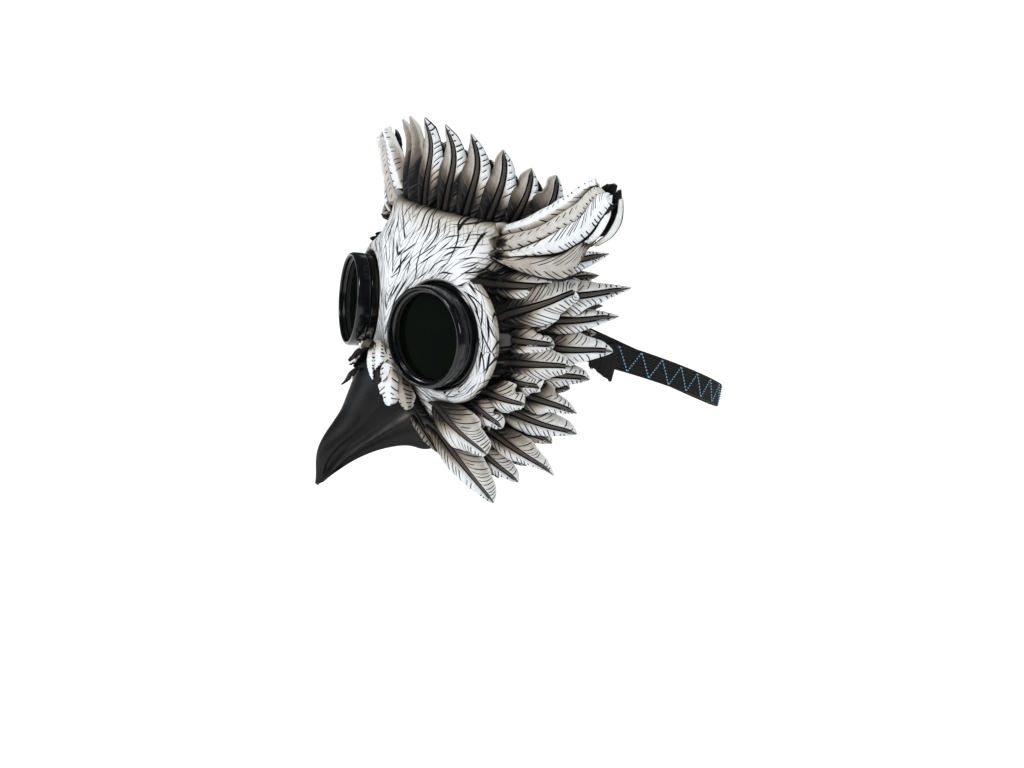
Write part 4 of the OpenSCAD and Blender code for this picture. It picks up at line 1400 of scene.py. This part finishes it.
def strap_line():
    """The elastic's inner line seen from above, from one temple round the back to the other."""
    az = np.array([66.0, 71.0, 76.0, 84.0])
    lift = np.array([0.0, 0.0, 0.2, 1.8]) - (WALL + PATCH_T + STRAP_T)
    start = on_face(az, np.full(4, 6.0), lift)[:, :2]
    u = np.radians(np.linspace(0, 90, 40))
    c, s = np.maximum(np.cos(u), 0) ** HEAD_POWER, np.sin(u) ** HEAD_POWER
    back = np.stack([(HALF_W - 2) * c, HEAD_Y + HEAD_BACK * s], -1)
    half = np.concatenate([start, back])
    whole = np.concatenate([half, half[-2::-1] * np.array([-1, 1])])
    run = run_along(whole)
    line = along_table(np.linspace(0, run[-1], 320), run, whole)
    for _ in range(3):
        line[1:-1] = (line[:-2] + 2 * line[1:-1] + line[2:]) / 4
    return line, run_along(line)


def strap_frame(line):
    way = unit(np.gradient(line, axis=0))
    return np.stack([way[:, 1], -way[:, 0], np.zeros(len(line))], -1)


def build_strap(material, thread):
    line, run = strap_line()
    normal = strap_frame(line)
    base = np.stack([line[:, 0], line[:, 1], strap_z(line[:, 1])], -1)
    if np.sum(normal[:, :2] * (line - np.array([0, HEAD_Y]))) < 0:
        normal = -normal
    v = np.linspace(-1, 1, RIBS * 6 + 1)
    rib = RIB_DEPTH * np.abs(np.sin(np.pi * RIBS * (v + 1) / 2)) ** 0.6
    edge = 1 - np.clip((np.abs(v) - 0.97) / 0.03, 0, 1) * 0.3
    outer = base[:, None] + normal[:, None] * ((STRAP_T - RIB_DEPTH + rib) * edge)[None, :, None]
    outer = outer + UP * (v * STRAP_W / 2)[None, :, None]
    back = np.linspace(1, -1, 21)
    inner = base[:, None] + normal[:, None] * (0.15 * np.abs(np.sin(np.pi * RIBS * (back + 1) / 2)))[None, :, None]
    inner = inner + UP * (back * STRAP_W / 2)[None, :, None]
    grid = np.concatenate([outer, inner], 1)
    rows, ring = grid.shape[:2]
    across = np.concatenate([v * STRAP_W / 2, back * STRAP_W / 2])
    band = np.stack([np.broadcast_to(run[:, None], (rows, ring)), np.broadcast_to(across, (rows, ring)),
                     np.zeros((rows, ring))], -1)
    skin = Skin()
    skin.add(grid, tube_faces(rows, ring), band_mm=band.reshape(-1, 3))
    for side in (1, -1):
        add_tail(skin, side)
    return skin.build("strap_elastic", material, 60.0), build_stitches(line, run, normal, thread)


def add_tail(skin, side):
    """The folded end of the elastic, hanging out below the band with a cut, frayed edge."""
    rng = np.random.default_rng(SEED + 90)
    # y, and height over the band's middle at y = TAIL_Y, along the top and the cut end of the flap
    tops = np.array([[67.0, 4.0], [77.0, 6.0], [88.0, 6.0]])
    ends = np.array([[68.0, -8.5], [76.0, -11.5], [86.5, -18.5]])
    columns = np.linspace(0, 1, 33)
    top, end = (along_table(columns, [0, 0.5, 1], table) for table in (tops, ends))
    end[:, 1] += rng.uniform(-1.4, 1.0, len(columns))
    rows = np.linspace(0, 1, 24)
    flat = top[None] * (1 - rows[:, None, None]) + end[None] * rows[:, None, None]
    rib = 0.3 * np.abs(np.sin(np.pi * 5 * columns)) ** 0.6
    x = (HALF_W - 2) + STRAP_T - 0.2
    sheets = []
    for out in (0.9 + rib, np.full_like(rib, -0.4)):
        lift = x + out[None] + 1.2 * np.sin(rows * 2.6)[:, None] * columns[None]
        sheets.append(np.stack([side * lift, flat[..., 0], strap_z(TAIL_Y) + flat[..., 1]], -1))
    grid = np.concatenate([sheets[0], sheets[1][:, ::-1]], 1)
    if side > 0:
        grid = grid[:, ::-1]
    n, ring = grid.shape[:2]
    along = np.broadcast_to(rows[:, None] * 22.0, (n, ring))
    band = np.stack([along, np.broadcast_to(np.linspace(-8, 8, ring), (n, ring)), np.zeros((n, ring))], -1)
    skin.add(grid, tube_faces(n, ring), band_mm=band.reshape(-1, 3))


def build_stitches(line, run, normal, material):
    """A zigzag of separate stitches along the outside of the band."""
    # along the band: half a zigzag and where the first one starts; the zigzag's height; thread per stitch
    half_pitch, start, height, stitch_gap = 9.8, 42.9, STRAP_W / 2 - 1.0, 2.0
    legs = int((run[-1] - 2 * start) / half_pitch)
    knots = [(start + n * half_pitch, height if n % 2 == 0 else -height) for n in range(legs + 1)]

    def on_band(d, h):
        p, out = along_table(d, run, line), unit(along_table(d, run, normal))
        return np.array([p[0], p[1], strap_z(p[1]) + h]) + out * (STRAP_T + 0.12), out

    skin = Skin()
    ring_steps, rows = 8, 5
    turn = np.linspace(0, 2 * math.pi, ring_steps, endpoint=False)
    for (d0, h0), (d1, h1) in zip(knots, knots[1:]):
        span = math.hypot(d1 - d0, h1 - h0)
        count = int(span / stitch_gap)
        for n in range(count):
            a, b = (n + 0.18) / count, (n + 0.82) / count
            p, out = on_band(d0 + (d1 - d0) * a, h0 + (h1 - h0) * a)
            q, _ = on_band(d0 + (d1 - d0) * b, h0 + (h1 - h0) * b)
            way = unit(q - p)
            side = np.cross(way, out)
            rings = []
            for r in range(rows):
                t = r / (rows - 1)
                fat = 0.16 + 0.30 * math.sin(math.pi * t) ** 0.5
                centre = p + (q - p) * t + out * (0.25 * math.sin(math.pi * t) - 0.1)
                rings.append(centre + fat * (np.outer(np.cos(turn), side) + np.outer(np.sin(turn), out)))
            skin.add(np.stack(rings), tube_faces(rows, ring_steps))
    return skin.build("strap_zigzag_thread", material, 70.0)


# ---------------------------------------------------------------- putting it together
def give(node, material):
    """The material of a CAD node that is shown as it is."""
    data = frame["nodes"][node].data
    data.materials.clear()
    data.materials.append(material)


# The floor is this far below the part, and this far from its middle to its edges, in millimetres.
FLOOR_DROP, FLOOR_REACH, FLOOR_STEPS = 160.0, 3000.0, 9


def make_floor(material):
    steps = np.linspace(-FLOOR_REACH, FLOOR_REACH, FLOOR_STEPS)
    x, y = np.meshgrid(steps, steps)
    skin = Skin()
    skin.add(np.stack([x, y, np.full_like(x, cad_box[0][2] / MM - FLOOR_DROP)], -1),
             sheet_faces(FLOOR_STEPS, FLOOR_STEPS))
    skin.build("floor", material)


make_camera()
make_light()
make_floor(floor_paint())

stand_in(build_beak(beak_paint()), "beak")
face_latex = face_paint()
face = build_face()
grow_feathers()
grow_nose()
occluder.ready()
stand_in(finish_face(*face, face_latex), "face_shell")
feather_latex = feather_paint()
for group in GROUPS:
    stand_in(build_leaf_group(group, feather_latex), group)
build_eyecups(gloss_paint())
strap, stitches = build_strap(elastic_paint(), thread_paint())
stand_in(strap, "strap")
stand_in(stitches, "strap_stitching")

shown_as_they_are = {
    "_lens": lens_paint(),
    "_lock_ring": dull_paint("matte_black", (0.006, 0.006, 0.007), (0.018, 0.018, 0.019), 0.45, 0.62, 0.8),
    "_gasket": dull_paint("seal_rubber", (0.006, 0.006, 0.006), (0.016, 0.016, 0.016), 0.6, 0.8, 1.4),
    "_slip_washer": dull_paint("fibre_washer", (0.004, 0.004, 0.004), (0.012, 0.011, 0.010), 0.6, 0.85, 1.8),
    "_strap_patch": canvas_paint(),
}
for word in SIDE_NAME.values():
    for node, paint in shown_as_they_are.items():
        give(word + node, paint)
